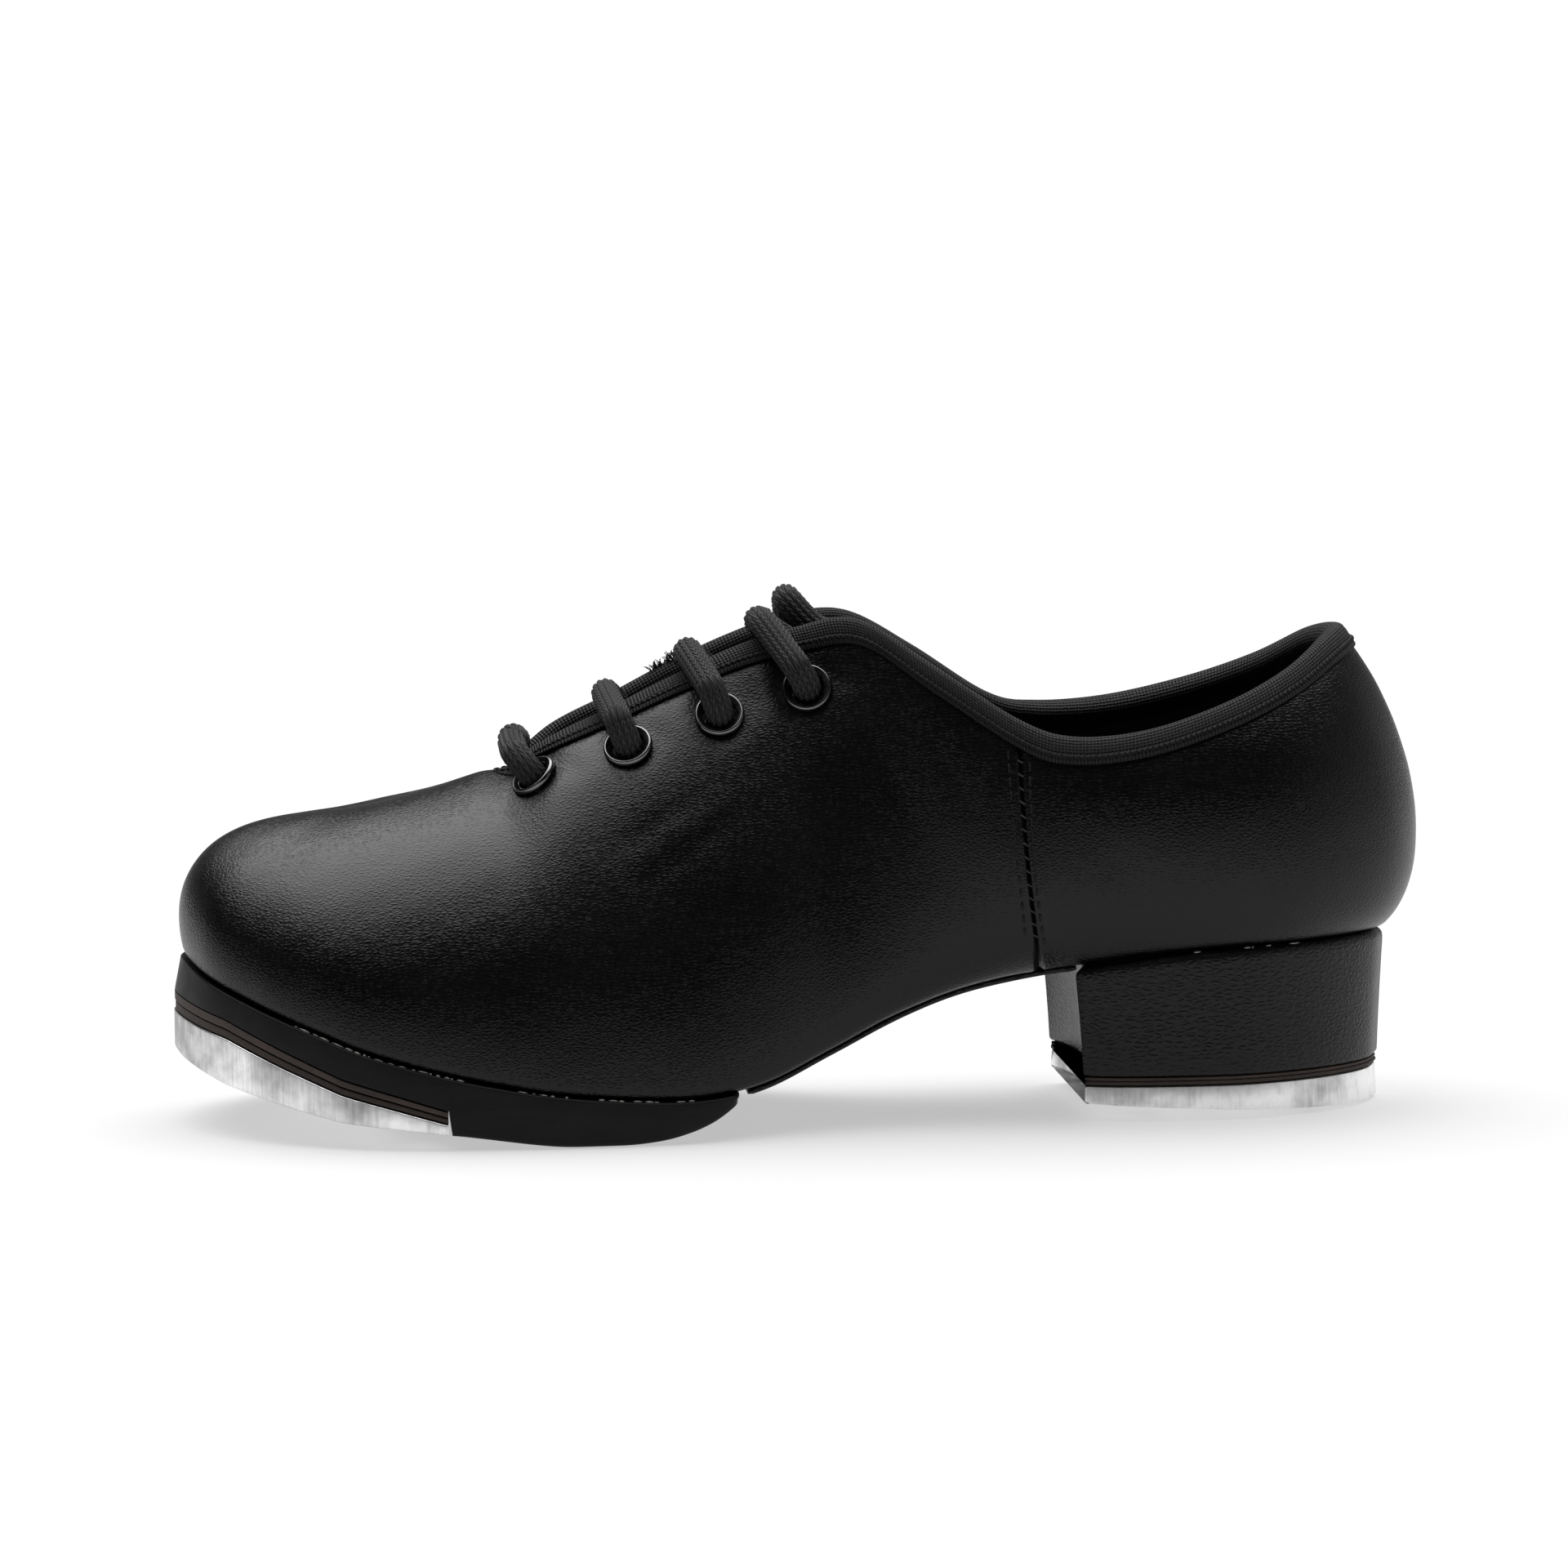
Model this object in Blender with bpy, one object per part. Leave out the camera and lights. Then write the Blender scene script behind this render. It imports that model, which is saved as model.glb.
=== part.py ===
"""Left tap shoe, four-eyelet oxford, about EU 37, standing on its ball and heel tap.

Blender 4.5, metres, +Z up. The toe points along -X, the outer (lateral) side of the foot is -Y,
and the origin is under the middle of the shoe, on the surface that it stands on.
Driving dimensions are in millimetres; MM turns them into metres.
"""

import math

import bmesh
import bpy
import numpy as np
from mathutils import Vector

MM = 0.001
GAP = 0.3
UP = np.array([0.0, 0.0, 1.0])

# The upper, as rows from the toe tip (first) to the back of the heel (last). Each row is one line up
# the outer surface on both sides of the shoe, from the sole seam to the ridge, facing or topline.
# seam x, seam z, seam y lateral, seam y medial,
# top x, top y lateral, top y medial, top z lateral, top z medial,
# bulge out and up at the seam, bulge out and down at the top
ROWS = (
    (-124.0, 33.2, 4.0, 4.0, -96.0, 6.5, 6.5, 61.4, 61.4, 4.6, 17, 23, 0.6),
    (-119.3, 30.3, -14.0, 21.5, -93.5, 6.5, 6.5, 61.7, 61.7, 4.5, 17, 23, 0.6),
    (-109.3, 26.2, -27.0, 33.5, -88.0, 6.5, 6.5, 62.6, 62.6, 4.0, 18, 23, 0.8),
    (-99.0, 22.4, -35.0, 39.5, -80.5, 6.2, 6.2, 64.3, 64.3, 4.0, 20, 25, 1.0),
    (-88.8, 18.6, -40.0, 42.3, -72.5, 5.6, 5.6, 66.4, 66.4, 3.5, 22, 26, 2.0),
    (-75.8, 15.0, -42.8, 43.5, -64.5, 4.8, 4.8, 69.0, 69.0, 3.0, 24, 27.3, 3.5),
    (-63.0, 12.2, -43.8, 43.3, -58.5, 4.0, 4.0, 70.4, 70.4, 2.5, 25, 28.5, 3.4),
    (-51.0, 10.2, -44.0, 42.0, -49.0, -4.5, 9.5, 76.6, 77.5, 2.5, 25, 22, 6.0),
    (-37.0, 8.9, -43.2, 39.2, -37.0, -6.0, 10.3, 82.4, 83.4, 3.0, 24, 20.5, 8.0),
    (-23.0, 8.5, -41.0, 34.5, -25.0, -6.0, 11.0, 88.3, 89.6, 3.5, 22, 19.5, 9.0),
    (-10.0, 10.4, -36.0, 29.0, -13.0, -6.0, 11.3, 93.7, 95.0, 5.0, 20, 18, 11.0),
    (4.0, 16.0, -29.0, 23.5, -1.0, -7.0, 11.6, 97.4, 99.0, 8.0, 15, 14, 14.0),
    (18.0, 22.2, -24.0, 20.5, 11.0, -12.5, 13.5, 99.2, 99.3, 12.0, 11, 10, 18.0),
    (31.0, 26.7, -21.5, 20.5, 25.0, -20.5, 19.0, 90.4, 91.6, 14.0, 8, 8, 20.0),
    (46.0, 29.9, -21.8, 21.8, 41.5, -26.7, 24.8, 79.7, 81.0, 15.0, 6, 8, 18.0),
    (58.0, 31.7, -25.5, 25.5, 52.0, -28.0, 26.5, 76.4, 79.2, 10.0, 10, 7, 14.0),
    (75.0, 34.0, -28.0, 28.0, 67.0, -28.0, 27.0, 77.6, 80.2, 8.0, 12, 8, 12.0),
    (92.0, 35.0, -26.5, 26.5, 83.5, -25.3, 25.3, 82.7, 84.0, 9.0, 12, 10, 14.0),
    (104.6, 35.4, -21.0, 21.0, 96.5, -19.2, 19.6, 88.6, 89.0, 11.0, 11, 12.8, 16.0),
    (114.5, 35.4, -12.0, 12.0, 106.0, -10.0, 10.5, 94.6, 94.8, 12.4, 10, 15.6, 18.0),
    (118.5, 35.0, 0.0, 0.0, 110.0, 0.0, 0.0, 96.4, 96.4, 13.0, 9, 17.5, 20.0),
)
ROW_STEPS = 2  # stations between one row and the next, plus one
HEIGHT_STEPS = (0.0, 0.16, 0.37, 0.6, 0.82, 1.0)
MARGIN_STEPS = (12.0, 4.0)  # how far in the lasting margin reaches under the foot
THROAT_ROW = 6  # the facings part in front of this row
SIDE_SEAM_ROW = 14
LINING_SEAM_ROW = 13

# Layers, as depths below the outer surface
UPPER_DEPTH = (0.0, 1.2)
STIFFENER_DEPTH = (1.5, 2.3)
LINING_THICKNESS = 0.8
LINING_START = 1.5
LINING_START_STIFFENED = 2.6
PUFF_ROWS = 3  # the toe puff reaches back to this row
COUNTER_FIRST_ROW = 15
COUNTER_TOP_STEP = 5

# Bottom, as heights above the sole seam
INSOLE = (3.9, 5.9)
SOCK = (6.2, 7.0)
SHANK = (2.1, 3.4)
FILLER = (0.2, 3.5)
WAIST_COVER = (-1.5, -0.3)
SHANK_X = (-8.0, 88.0)
SHANK_HALF_WIDTH = 6.0

# Undersides, as x and z
SOLE_UNDER_TAP = ((-127.0, 26.6), (-115.7, 23.5), (-103.5, 18.1), (-93.1, 13.7), (-82.6, 10.7), (-72.3, 7.6))
SOLE_UNDER_BALL = ((-71.9, 2.7), (-64.8, 1.8), (-56.0, 0.6), (-50.0, 0.0), (-36.0, 0.0), (-29.0, 0.8),
                   (-22.0, 2.9), (-17.5, 5.5), (-13.0, 9.3))
BOARD_STACK = ((-127.0, 3.6), (-100.0, 2.9), (-73.0, 2.2))
TAP_UNDER = ((-126.6, 15.2), (-124.5, 13.8), (-116.0, 10.5), (-103.7, 7.4), (-93.5, 5.1), (-72.6, 2.9))
SOLE_REAR = ((-17.0, 2.5), (-13.0, 9.0))  # x and how far the sole's rear corners are rounded in
TAP_END_X = -72.6
TAP_NOTCH_RADIUS = 62.0
TAP_NOTCH_X = -86.0  # the foremost point of the tap's hollowed rear edge
TOE_SCREWS = ((-111.0, 5.0, 13.0), (-82.5, -31.0, 8.5), (-82.5, 33.0, 8.5))  # x, y, length

# Heel
HEEL_HALF_OUTLINE = ((54.3, 25.0), (61.0, 26.9), (72.0, 27.8), (86.0, 27.0), (98.0, 22.8), (108.0, 16.4),
                     (115.0, 8.8), (118.6, 0.0))
HEEL_BREAST_HOLLOW = 3.5
HEEL_TOP_GROWTH = 1.2  # the heel widens this much from its foot to the seat
HEEL_FOOT_Z = 9.0
HEEL_BOARD_Z = (7.2, 8.7)
HEEL_TAP_TOP_Z = 6.9
HEEL_TAP_FOOT_Z = (3.4, 0.0)  # at the front and at the back: it stands on its back edge
HEEL_COVER_THICKNESS = 0.8
HEEL_SCREWS = ((68.0, -16.0), (68.0, 16.0), (107.0, 0.0))
HEEL_SCREW_LENGTH = 15.0
HEEL_NAILS = ((75.0, -10.5), (75.0, 10.5), (99.0, -8.5), (99.0, 8.5))
HEEL_NAIL_DEPTH = 24.0

# Lacing
EYELETS = ((-53.7, 12.1), (-35.5, 12.9), (-17.0, 13.8), (0.7, 13.2))  # x, and distance from the facing edge
EYELET_BORE = 3.3
EYELET_WALL = 0.4
EYELET_FLANGE = 5.0
EYELET_HOLE = 4.05
LACE_RADIUS = 2.75
EDGE_MIDDLE = (1.15, 0.5)  # the middle of the folded edge, under the leather's face and below its top
LACE_RUN_DEPTH = 7.9  # the lace's runs below the facings
LACE_EDGE_REACH = 4.9  # from the middle of the folded edge to the lace's centre line, where it goes over
LACE_UNDER_EDGE_REACH = 5.4
LACE_CREST_REACH = 6.3  # where it stands free above the edge
LACE_LEAN = (-1.4, -2.4, -3.8, -6.6)  # how far the crossings stand ahead of their lateral eyelets, along x
LACE_MEDIAL_LEAN = (-1.2, -1.0, -1.5, -1.2)
TONGUE_THICKNESS = 1.5
TONGUE_DROP = 10.6  # its middle, below the line between the two edges

LAST_ROW = len(ROWS) - 1
HALF = LAST_ROW * ROW_STEPS  # stations from the toe tip to the back of the heel
RING = 2 * HALF


def clear_scene():
    for obj in list(bpy.data.objects):
        bpy.data.objects.remove(obj, do_unlink=True)


def material(name, colour, roughness, metallic=0.0):
    made = bpy.data.materials.new(name)
    made.use_nodes = True
    shader = made.node_tree.nodes["Principled BSDF"]
    shader.inputs["Base Color"].default_value = (*colour, 1.0)
    shader.inputs["Roughness"].default_value = roughness
    shader.inputs["Metallic"].default_value = metallic
    return made


def add_solid(name, points_mm, faces, mat):
    """One closed mesh object; points are in millimetres and faces point outwards."""
    work = bmesh.new()
    verts = [work.verts.new(Vector(p) * MM) for p in points_mm]
    for face in faces:
        corners = list(dict.fromkeys(face))
        if len(corners) > 2:
            work.faces.new([verts[i] for i in corners])
    bmesh.ops.remove_doubles(work, verts=work.verts, dist=1e-7)
    bmesh.ops.triangulate(work, faces=work.faces[:])
    mesh = bpy.data.meshes.new(name)
    work.to_mesh(mesh)
    work.free()
    mesh.shade_smooth()
    mesh.set_sharp_from_angle(angle=math.radians(35))
    obj = bpy.data.objects.new(name, mesh)
    obj.data.materials.append(mat)
    bpy.context.scene.collection.objects.link(obj)
    return obj


def catmull(values, position):
    """The smooth curve through the values, at a fractional index."""
    last = len(values) - 1
    i = min(int(position), last - 1)
    f = position - i
    a, b, c, d = (values[min(max(j, 0), last)] for j in (i - 1, i, i + 1, i + 2))
    return 0.5 * (2 * b + (c - a) * f + (2 * a - 5 * b + 4 * c - d) * f**2 + (3 * b - a - 3 * c + d) * f**3)


def station_row(station):
    """The row position of a ring station: lateral stations count up, medial ones count down."""
    return min(station, RING - station) / ROW_STEPS


def ring_points():
    """Seam and top points of every ring station, and the bulges of the line between them."""
    table = []
    for k in range(2 * LAST_ROW):
        medial = k > LAST_ROW
        x, z, y_lat, y_med, tx, ty_lat, ty_med, tz_lat, tz_med, *bulge = ROWS[2 * LAST_ROW - k if medial else k]
        top = (tx, ty_med, tz_med) if medial else (tx, ty_lat, tz_lat)
        table.append((x, y_med if medial else y_lat, z, *top, *bulge))
    wrapped = np.array(table[-1:] + table + table[:2], float)
    values = np.array([catmull(wrapped, 1 + station / ROW_STEPS) for station in range(RING)])
    seams, tops, bulges = values[:, :3], values[:, 3:6], values[:, 6:]
    for station in range(1, THROAT_ROW * ROW_STEPS + 1):
        tops[station] = tops[RING - station] = (tops[station] + tops[RING - station]) / 2
    return seams, tops, bulges


def plan_normals(loop):
    """Outward unit normals of a closed loop seen from above, the loop running toe, lateral, heel, medial."""
    along = np.roll(loop, -1, axis=0) - np.roll(loop, 1, axis=0)
    out = np.stack([along[:, 1], -along[:, 0], np.zeros(len(loop))], axis=1)
    return out / np.linalg.norm(out, axis=1, keepdims=True)


SEAMS, TOPS, BULGES = ring_points()
OUT = plan_normals(SEAMS)


def seam_z(x):
    return float(np.interp(x, SEAMS[: HALF + 1, 0], SEAMS[: HALF + 1, 2]))


def outer_surface():
    """Points of the upper's outer surface, indexed by station and by step up from the lasting margin."""
    grid = np.zeros((RING, len(MARGIN_STEPS) + len(HEIGHT_STEPS), 3))
    for i in range(RING):
        for j, inset in enumerate(MARGIN_STEPS):
            grid[i, j] = SEAMS[i] - OUT[i] * inset
            grid[i, j, 2] = seam_z(grid[i, j, 0])
        out_low, up_low, out_high, down_high = BULGES[i]
        a, d = SEAMS[i], TOPS[i]
        b = a + OUT[i] * out_low + UP * up_low
        c = d + OUT[i] * out_high - UP * down_high
        for j, t in enumerate(HEIGHT_STEPS):
            s = 1 - t
            grid[i, len(MARGIN_STEPS) + j] = s**3 * a + 3 * s * s * t * b + 3 * s * t * t * c + t**3 * d
    return grid


SURFACE = outer_surface()
STEPS = SURFACE.shape[1]
SEAM_STEP = len(MARGIN_STEPS)
TOP_STEP = STEPS - 1


def vertex_key(station, step):
    """One number per surface point; the two sides share the points of the ridge."""
    station %= RING
    if step == TOP_STEP and station > HALF and station_row(station) <= THROAT_ROW:
        station = RING - station
    return station * STEPS + step


def surface_faces(first, last, low, high):
    """Faces between two stations (counted round the heel, so last may pass the ring's end) and two steps."""
    return [
        (vertex_key(i, j), vertex_key(i + 1, j), vertex_key(i + 1, j + 1), vertex_key(i, j + 1))
        for i in range(first, last)
        for j in range(low, high)
    ]


def grid_normals():
    """Unit normals at every surface point, averaged over the faces that meet there."""
    flat = SURFACE.reshape(-1, 3)
    normals = np.zeros_like(flat)
    for a, b, c, d in surface_faces(0, RING, 0, TOP_STEP):
        normal = np.cross(flat[c] - flat[a], flat[d] - flat[b])
        normal /= np.linalg.norm(normal) + 1e-12
        for corner in {a, b, c, d}:
            normals[corner] += normal
    for station in range(HALF + 1, RING):
        normals[station * STEPS + TOP_STEP] = normals[vertex_key(station, TOP_STEP)]
    return (normals / np.linalg.norm(normals, axis=1, keepdims=True)).reshape(SURFACE.shape)


NORMALS = grid_normals()


def on_surface(station, below_top, depth):
    """A point this far below the top edge, measured down the surface, and this deep under it."""
    i, f = int(math.floor(station)), station - math.floor(station)
    line = (1 - f) * SURFACE[i % RING] + f * SURFACE[(i + 1) % RING]
    normals = (1 - f) * NORMALS[i % RING] + f * NORMALS[(i + 1) % RING]
    left, step = below_top, TOP_STEP
    while step > 1 and left > np.linalg.norm(line[step] - line[step - 1]):
        left -= np.linalg.norm(line[step] - line[step - 1])
        step -= 1
    run = line[step - 1] - line[step]
    share = left / np.linalg.norm(run)
    normal = (1 - share) * normals[step] + share * normals[step - 1]
    normal /= np.linalg.norm(normal)
    return line[step] + run * share - normal * depth, normal


def station_at_x(x, below_top, medial):
    """The station whose line crosses this x at this distance below the top edge."""
    stations = np.linspace(THROAT_ROW * ROW_STEPS, (SIDE_SEAM_ROW + 1) * ROW_STEPS, 400)
    stations = RING - stations if medial else stations
    reached = [on_surface(s, below_top, 0)[0][0] for s in stations]
    return float(stations[int(np.argmin(np.abs(np.array(reached) - x)))])


def thicken(name, faces, outer, inner, mat):
    """A closed shell: the faces outside, the same faces inside, and a rim along every open edge."""
    used = sorted({i for face in faces for i in face})
    place = {key: n for n, key in enumerate(used)}
    count = len(used)
    shell = [tuple(place[k] for k in face) for face in faces]
    edges = {(a, b) for face in shell for a, b in zip(face, face[1:] + face[:1]) if a != b}
    rims = [(b, a, a + count, b + count) for a, b in edges if (b, a) not in edges]
    back = [tuple(i + count for i in reversed(face)) for face in shell]
    points = [outer[k] for k in used] + [inner[k] for k in used]
    return add_solid(name, points, shell + back + rims, mat)


def depth_points(depths, shift_stations=(), shift=0.0):
    """The surface sunk by a depth per station; the listed stations move along x, to part two pieces."""
    sunk = SURFACE - NORMALS * np.asarray(depths)[:, None, None]
    for station in shift_stations:
        sunk[station % RING, :, 0] += shift
    return sunk.reshape(-1, 3)


def shell_layer(name, span, steps, depths, mat, shift=0.0):
    """A layer of the upper between two stations and two steps, with its depths per station."""
    faces = surface_faces(*span, *steps)
    outer = depth_points(depths[0], span, shift)
    inner = depth_points(depths[1], span, shift)
    return thicken(name, faces, outer, inner, mat)


def lining_depths():
    rows = np.array([station_row(i) for i in range(RING)])
    counter = COUNTER_FIRST_ROW
    start = np.interp(rows, (0, PUFF_ROWS + 0.5, PUFF_ROWS + 1.5, counter - 1, counter, len(ROWS)),
                      (LINING_START_STIFFENED, LINING_START_STIFFENED, LINING_START,
                       LINING_START, LINING_START_STIFFENED, LINING_START_STIFFENED))
    return start, start + LINING_THICKNESS


LINING_DEPTHS = lining_depths()


def cutter(obj):
    obj.hide_render = True
    obj.display_type = "WIRE"
    return obj


def cut(obj, tool):
    boolean = obj.modifiers.new("cut", "BOOLEAN")
    boolean.operation = "DIFFERENCE"
    boolean.object = tool


def turned(name, profile, origin, axis, mat, sides=12):
    """A closed solid turned about an axis; the profile is radius and height, going up the outside."""
    axis = Vector(axis).normalized()
    side = axis.orthogonal().normalized()
    other = axis.cross(side)
    points, faces = [], []
    for radius, height in profile:
        for n in range(sides):
            angle = 2 * math.pi * n / sides
            points.append(Vector(origin) + axis * height + radius * (side * math.cos(angle) + other * math.sin(angle)))
    rings = len(profile)
    closed = profile[0][0] > 0 and profile[0] == profile[-1]
    for r in range(rings - 1):
        for n in range(sides):
            m = (n + 1) % sides
            faces.append((r * sides + n, r * sides + m, (r + 1) * sides + m, (r + 1) * sides + n))
    if not closed:
        faces.append(tuple(range(sides))[::-1])
        faces.append(tuple((rings - 1) * sides + n for n in range(sides)))
    return add_solid(name, points, faces, mat)


def slab(name, sections, mat):
    """A solid across the shoe from cross sections, each lateral top, medial top, lateral foot, medial foot."""
    points = [p for section in sections for p in section]
    faces = [(0, 1, 3, 2)]
    for j in range(len(sections) - 1):
        a, b = 4 * j, 4 * (j + 1)
        faces += [(a, b, b + 1, a + 1), (a + 2, a + 3, b + 3, b + 2)]
        faces += [(a, a + 2, b + 2, b), (a + 1, b + 1, b + 3, a + 3)]
    end = 4 * (len(sections) - 1)
    faces.append((end, end + 2, end + 3, end + 1))
    return add_solid(name, points, faces, mat)


def seam_pair(station, out):
    """Lateral and medial points on the sole seam, moved outwards, at a fractional station."""
    pair = []
    for s in (station, RING - station):
        i, f = int(math.floor(s)), s - math.floor(s)
        a, b = i % RING, (i + 1) % RING
        point = (1 - f) * SEAMS[a] + f * SEAMS[b]
        normal = (1 - f) * OUT[a] + f * OUT[b]
        pair.append(point + normal * out)
    return pair


def station_of_seam_x(x):
    return float(np.interp(x, SEAMS[: HALF + 1, 0], np.arange(HALF + 1)))


def under(table, x):
    return float(np.interp(x, [p[0] for p in table], [p[1] for p in table]))


def with_z(point, z):
    return (point[0], point[1], z)


def flat_section(station, out_top, out_foot, top_z, foot_z):
    """A slab section at a station; top_z and foot_z are functions of x."""
    tops, feet = seam_pair(station, out_top), seam_pair(station, out_foot)
    return [with_z(p, top_z(p[0])) for p in tops] + [with_z(p, foot_z(p[0])) for p in feet]


def bottom_layer(name, first, last, inset, heights, mat):
    """A thin board that follows the sole seam's height, inset from the seam, between two x values."""
    stations = [s for s in range(1, HALF) if first < SEAMS[s, 0] < last]
    stations = [station_of_seam_x(first)] + stations + [station_of_seam_x(last)]
    sections = [
        flat_section(s, -inset, -inset, lambda x: seam_z(x) + heights[1], lambda x: seam_z(x) + heights[0])
        for s in stations
    ]
    return slab(name, sections, mat)


def make_upper(leather, lining):
    whole = np.zeros(RING), np.zeros(RING) + UPPER_DEPTH[1]
    seam = SIDE_SEAM_ROW * ROW_STEPS
    vamp = shell_layer("vamp", (-seam, seam), (0, TOP_STEP), whole, leather, -0.2)
    shell_layer("heel_quarter", (seam, RING - seam), (0, TOP_STEP), whole, leather, 0.2)
    split = LINING_SEAM_ROW * ROW_STEPS
    vamp_lining = shell_layer("vamp_lining", (-split, split), (0, TOP_STEP), LINING_DEPTHS, lining, -0.2)
    shell_layer("quarter_lining", (split, RING - split), (0, TOP_STEP), LINING_DEPTHS, lining, 0.2)
    return vamp, vamp_lining


def make_stiffeners(mat):
    depths = [np.zeros(RING) + d for d in STIFFENER_DEPTH]
    puff = PUFF_ROWS * ROW_STEPS
    counter = COUNTER_FIRST_ROW * ROW_STEPS
    shell_layer("toe_puff", (-puff, puff), (SEAM_STEP, TOP_STEP), depths, mat)
    shell_layer("heel_counter", (counter, RING - counter), (SEAM_STEP, COUNTER_TOP_STEP), depths, mat)


def make_binding(mat):
    """A tape folded over the top edge of upper and lining, from one side of the throat round to the other."""
    first, last = THROAT_ROW * ROW_STEPS + 1, RING - THROAT_ROW * ROW_STEPS - 1
    points, faces = [], []
    for station in range(first, last + 1):
        depth = LINING_DEPTHS[1][station]
        top, normal = on_surface(station, 0, 0)
        lower, _ = on_surface(station, 2, 0)
        rise = (top - lower) / np.linalg.norm(top - lower)
        profile = ((5.0, -GAP - 0.6), (1.0, -GAP - 0.8), (-1.1, 0.0), (-1.5, depth / 2), (-1.1, depth),
                   (1.0, depth + GAP + 0.8), (4.5, depth + GAP + 0.6), (4.5, depth + GAP),
                   (-GAP, depth + GAP), (-GAP, -GAP), (5.0, -GAP))
        for below, deep in profile:
            if below > 0:
                points.append(on_surface(station, below, deep)[0])
            else:
                points.append(top - rise * below - normal * deep)
    count = len(profile)
    for r in range(last - first):
        for n in range(count):
            m = (n + 1) % count
            faces.append((r * count + n, (r + 1) * count + n, (r + 1) * count + m, r * count + m))
    end = (last - first) * count
    for cap in ((9, 10, 0, 1), (9, 1, 2), (9, 2, 3), (9, 3, 4, 8), (8, 4, 5), (8, 5, 6, 7)):
        faces.append(cap)
        faces.append(tuple(end + n for n in reversed(cap)))
    add_solid("topline_binding", points, faces, mat)


def make_tongue(mat):
    """A padded strip under the facings, dropping away from their edges to leave room for the lace."""
    profile = ((17.0, 11.8), (12.0, 11.8), (7.0, 11.8), (3.0, 11.6))
    first, last = 5.4 * ROW_STEPS, 11.1 * ROW_STEPS
    columns = 13
    grid = []
    for station in np.linspace(first, last, columns):
        sink = float(np.interp(station / ROW_STEPS, (5.4, 6.0, 6.4), (4.4, 4.4, 11.8))) / 11.8
        sides = []
        for s in (station, RING - station):
            sides.append([on_surface(s, below, max(depth * sink, 4.4))[0] for below, depth in profile])
        middle = (on_surface(station, 0, 0)[0] + on_surface(RING - station, 0, 0)[0]) / 2
        middle = middle - UP * float(np.interp(station / ROW_STEPS, (6.0, 6.9), (4.6, TONGUE_DROP)))
        grid.append(sides[0] + [middle] + sides[1][::-1])
    grid = np.array(grid)
    across = grid.shape[1]
    along_axis, across_axis = np.gradient(grid, axis=0), np.gradient(grid, axis=1)
    normals = np.cross(along_axis, across_axis)
    normals /= np.linalg.norm(normals, axis=2, keepdims=True)
    inner = grid - normals * TONGUE_THICKNESS
    faces = [
        (a, a + across, a + across + 1, a + 1)
        for c in range(columns - 1)
        for a in range(c * across, (c + 1) * across - 1)
    ]
    thicken("tongue", faces, grid.reshape(-1, 3), inner.reshape(-1, 3), mat)


def eyelet_places():
    """(name, centre, normal, station, distance below the edge) of each eyelet."""
    places = []
    for side in ("lateral", "medial"):
        for number, (x, below) in enumerate(EYELETS, 1):
            station = station_at_x(x, below, side == "medial")
            centre, normal = on_surface(station, below, 0)
            places.append((f"eyelet_{side}_{number}", centre, normal, station, below))
    return places


def make_eyelets(mat, vamp, vamp_lining):
    inside = LINING_START + LINING_THICKNESS
    bore, wall = EYELET_BORE, EYELET_BORE + EYELET_WALL
    for name, centre, normal, _, _ in eyelet_places():
        profile = ((bore, -inside - 1.5), (wall + 0.9, -inside - 1.5), (wall + 0.9, -inside - 1.0),
                   (wall, -inside - 1.0), (wall, 0.45), (EYELET_FLANGE, 0.45), (EYELET_FLANGE - 0.3, 1.1),
                   (wall + 0.4, 1.4), (bore, 0.9), (bore, -inside - 1.5))
        turned(name, profile, centre, normal, mat, sides=10)
        hole_profile = ((EYELET_HOLE, -6.0), (EYELET_HOLE, 3.0))
        hole = cutter(turned(f"hole_{name}", hole_profile, centre, normal, mat, sides=10))
        cut(vamp, hole)
        cut(vamp_lining, hole)


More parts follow.
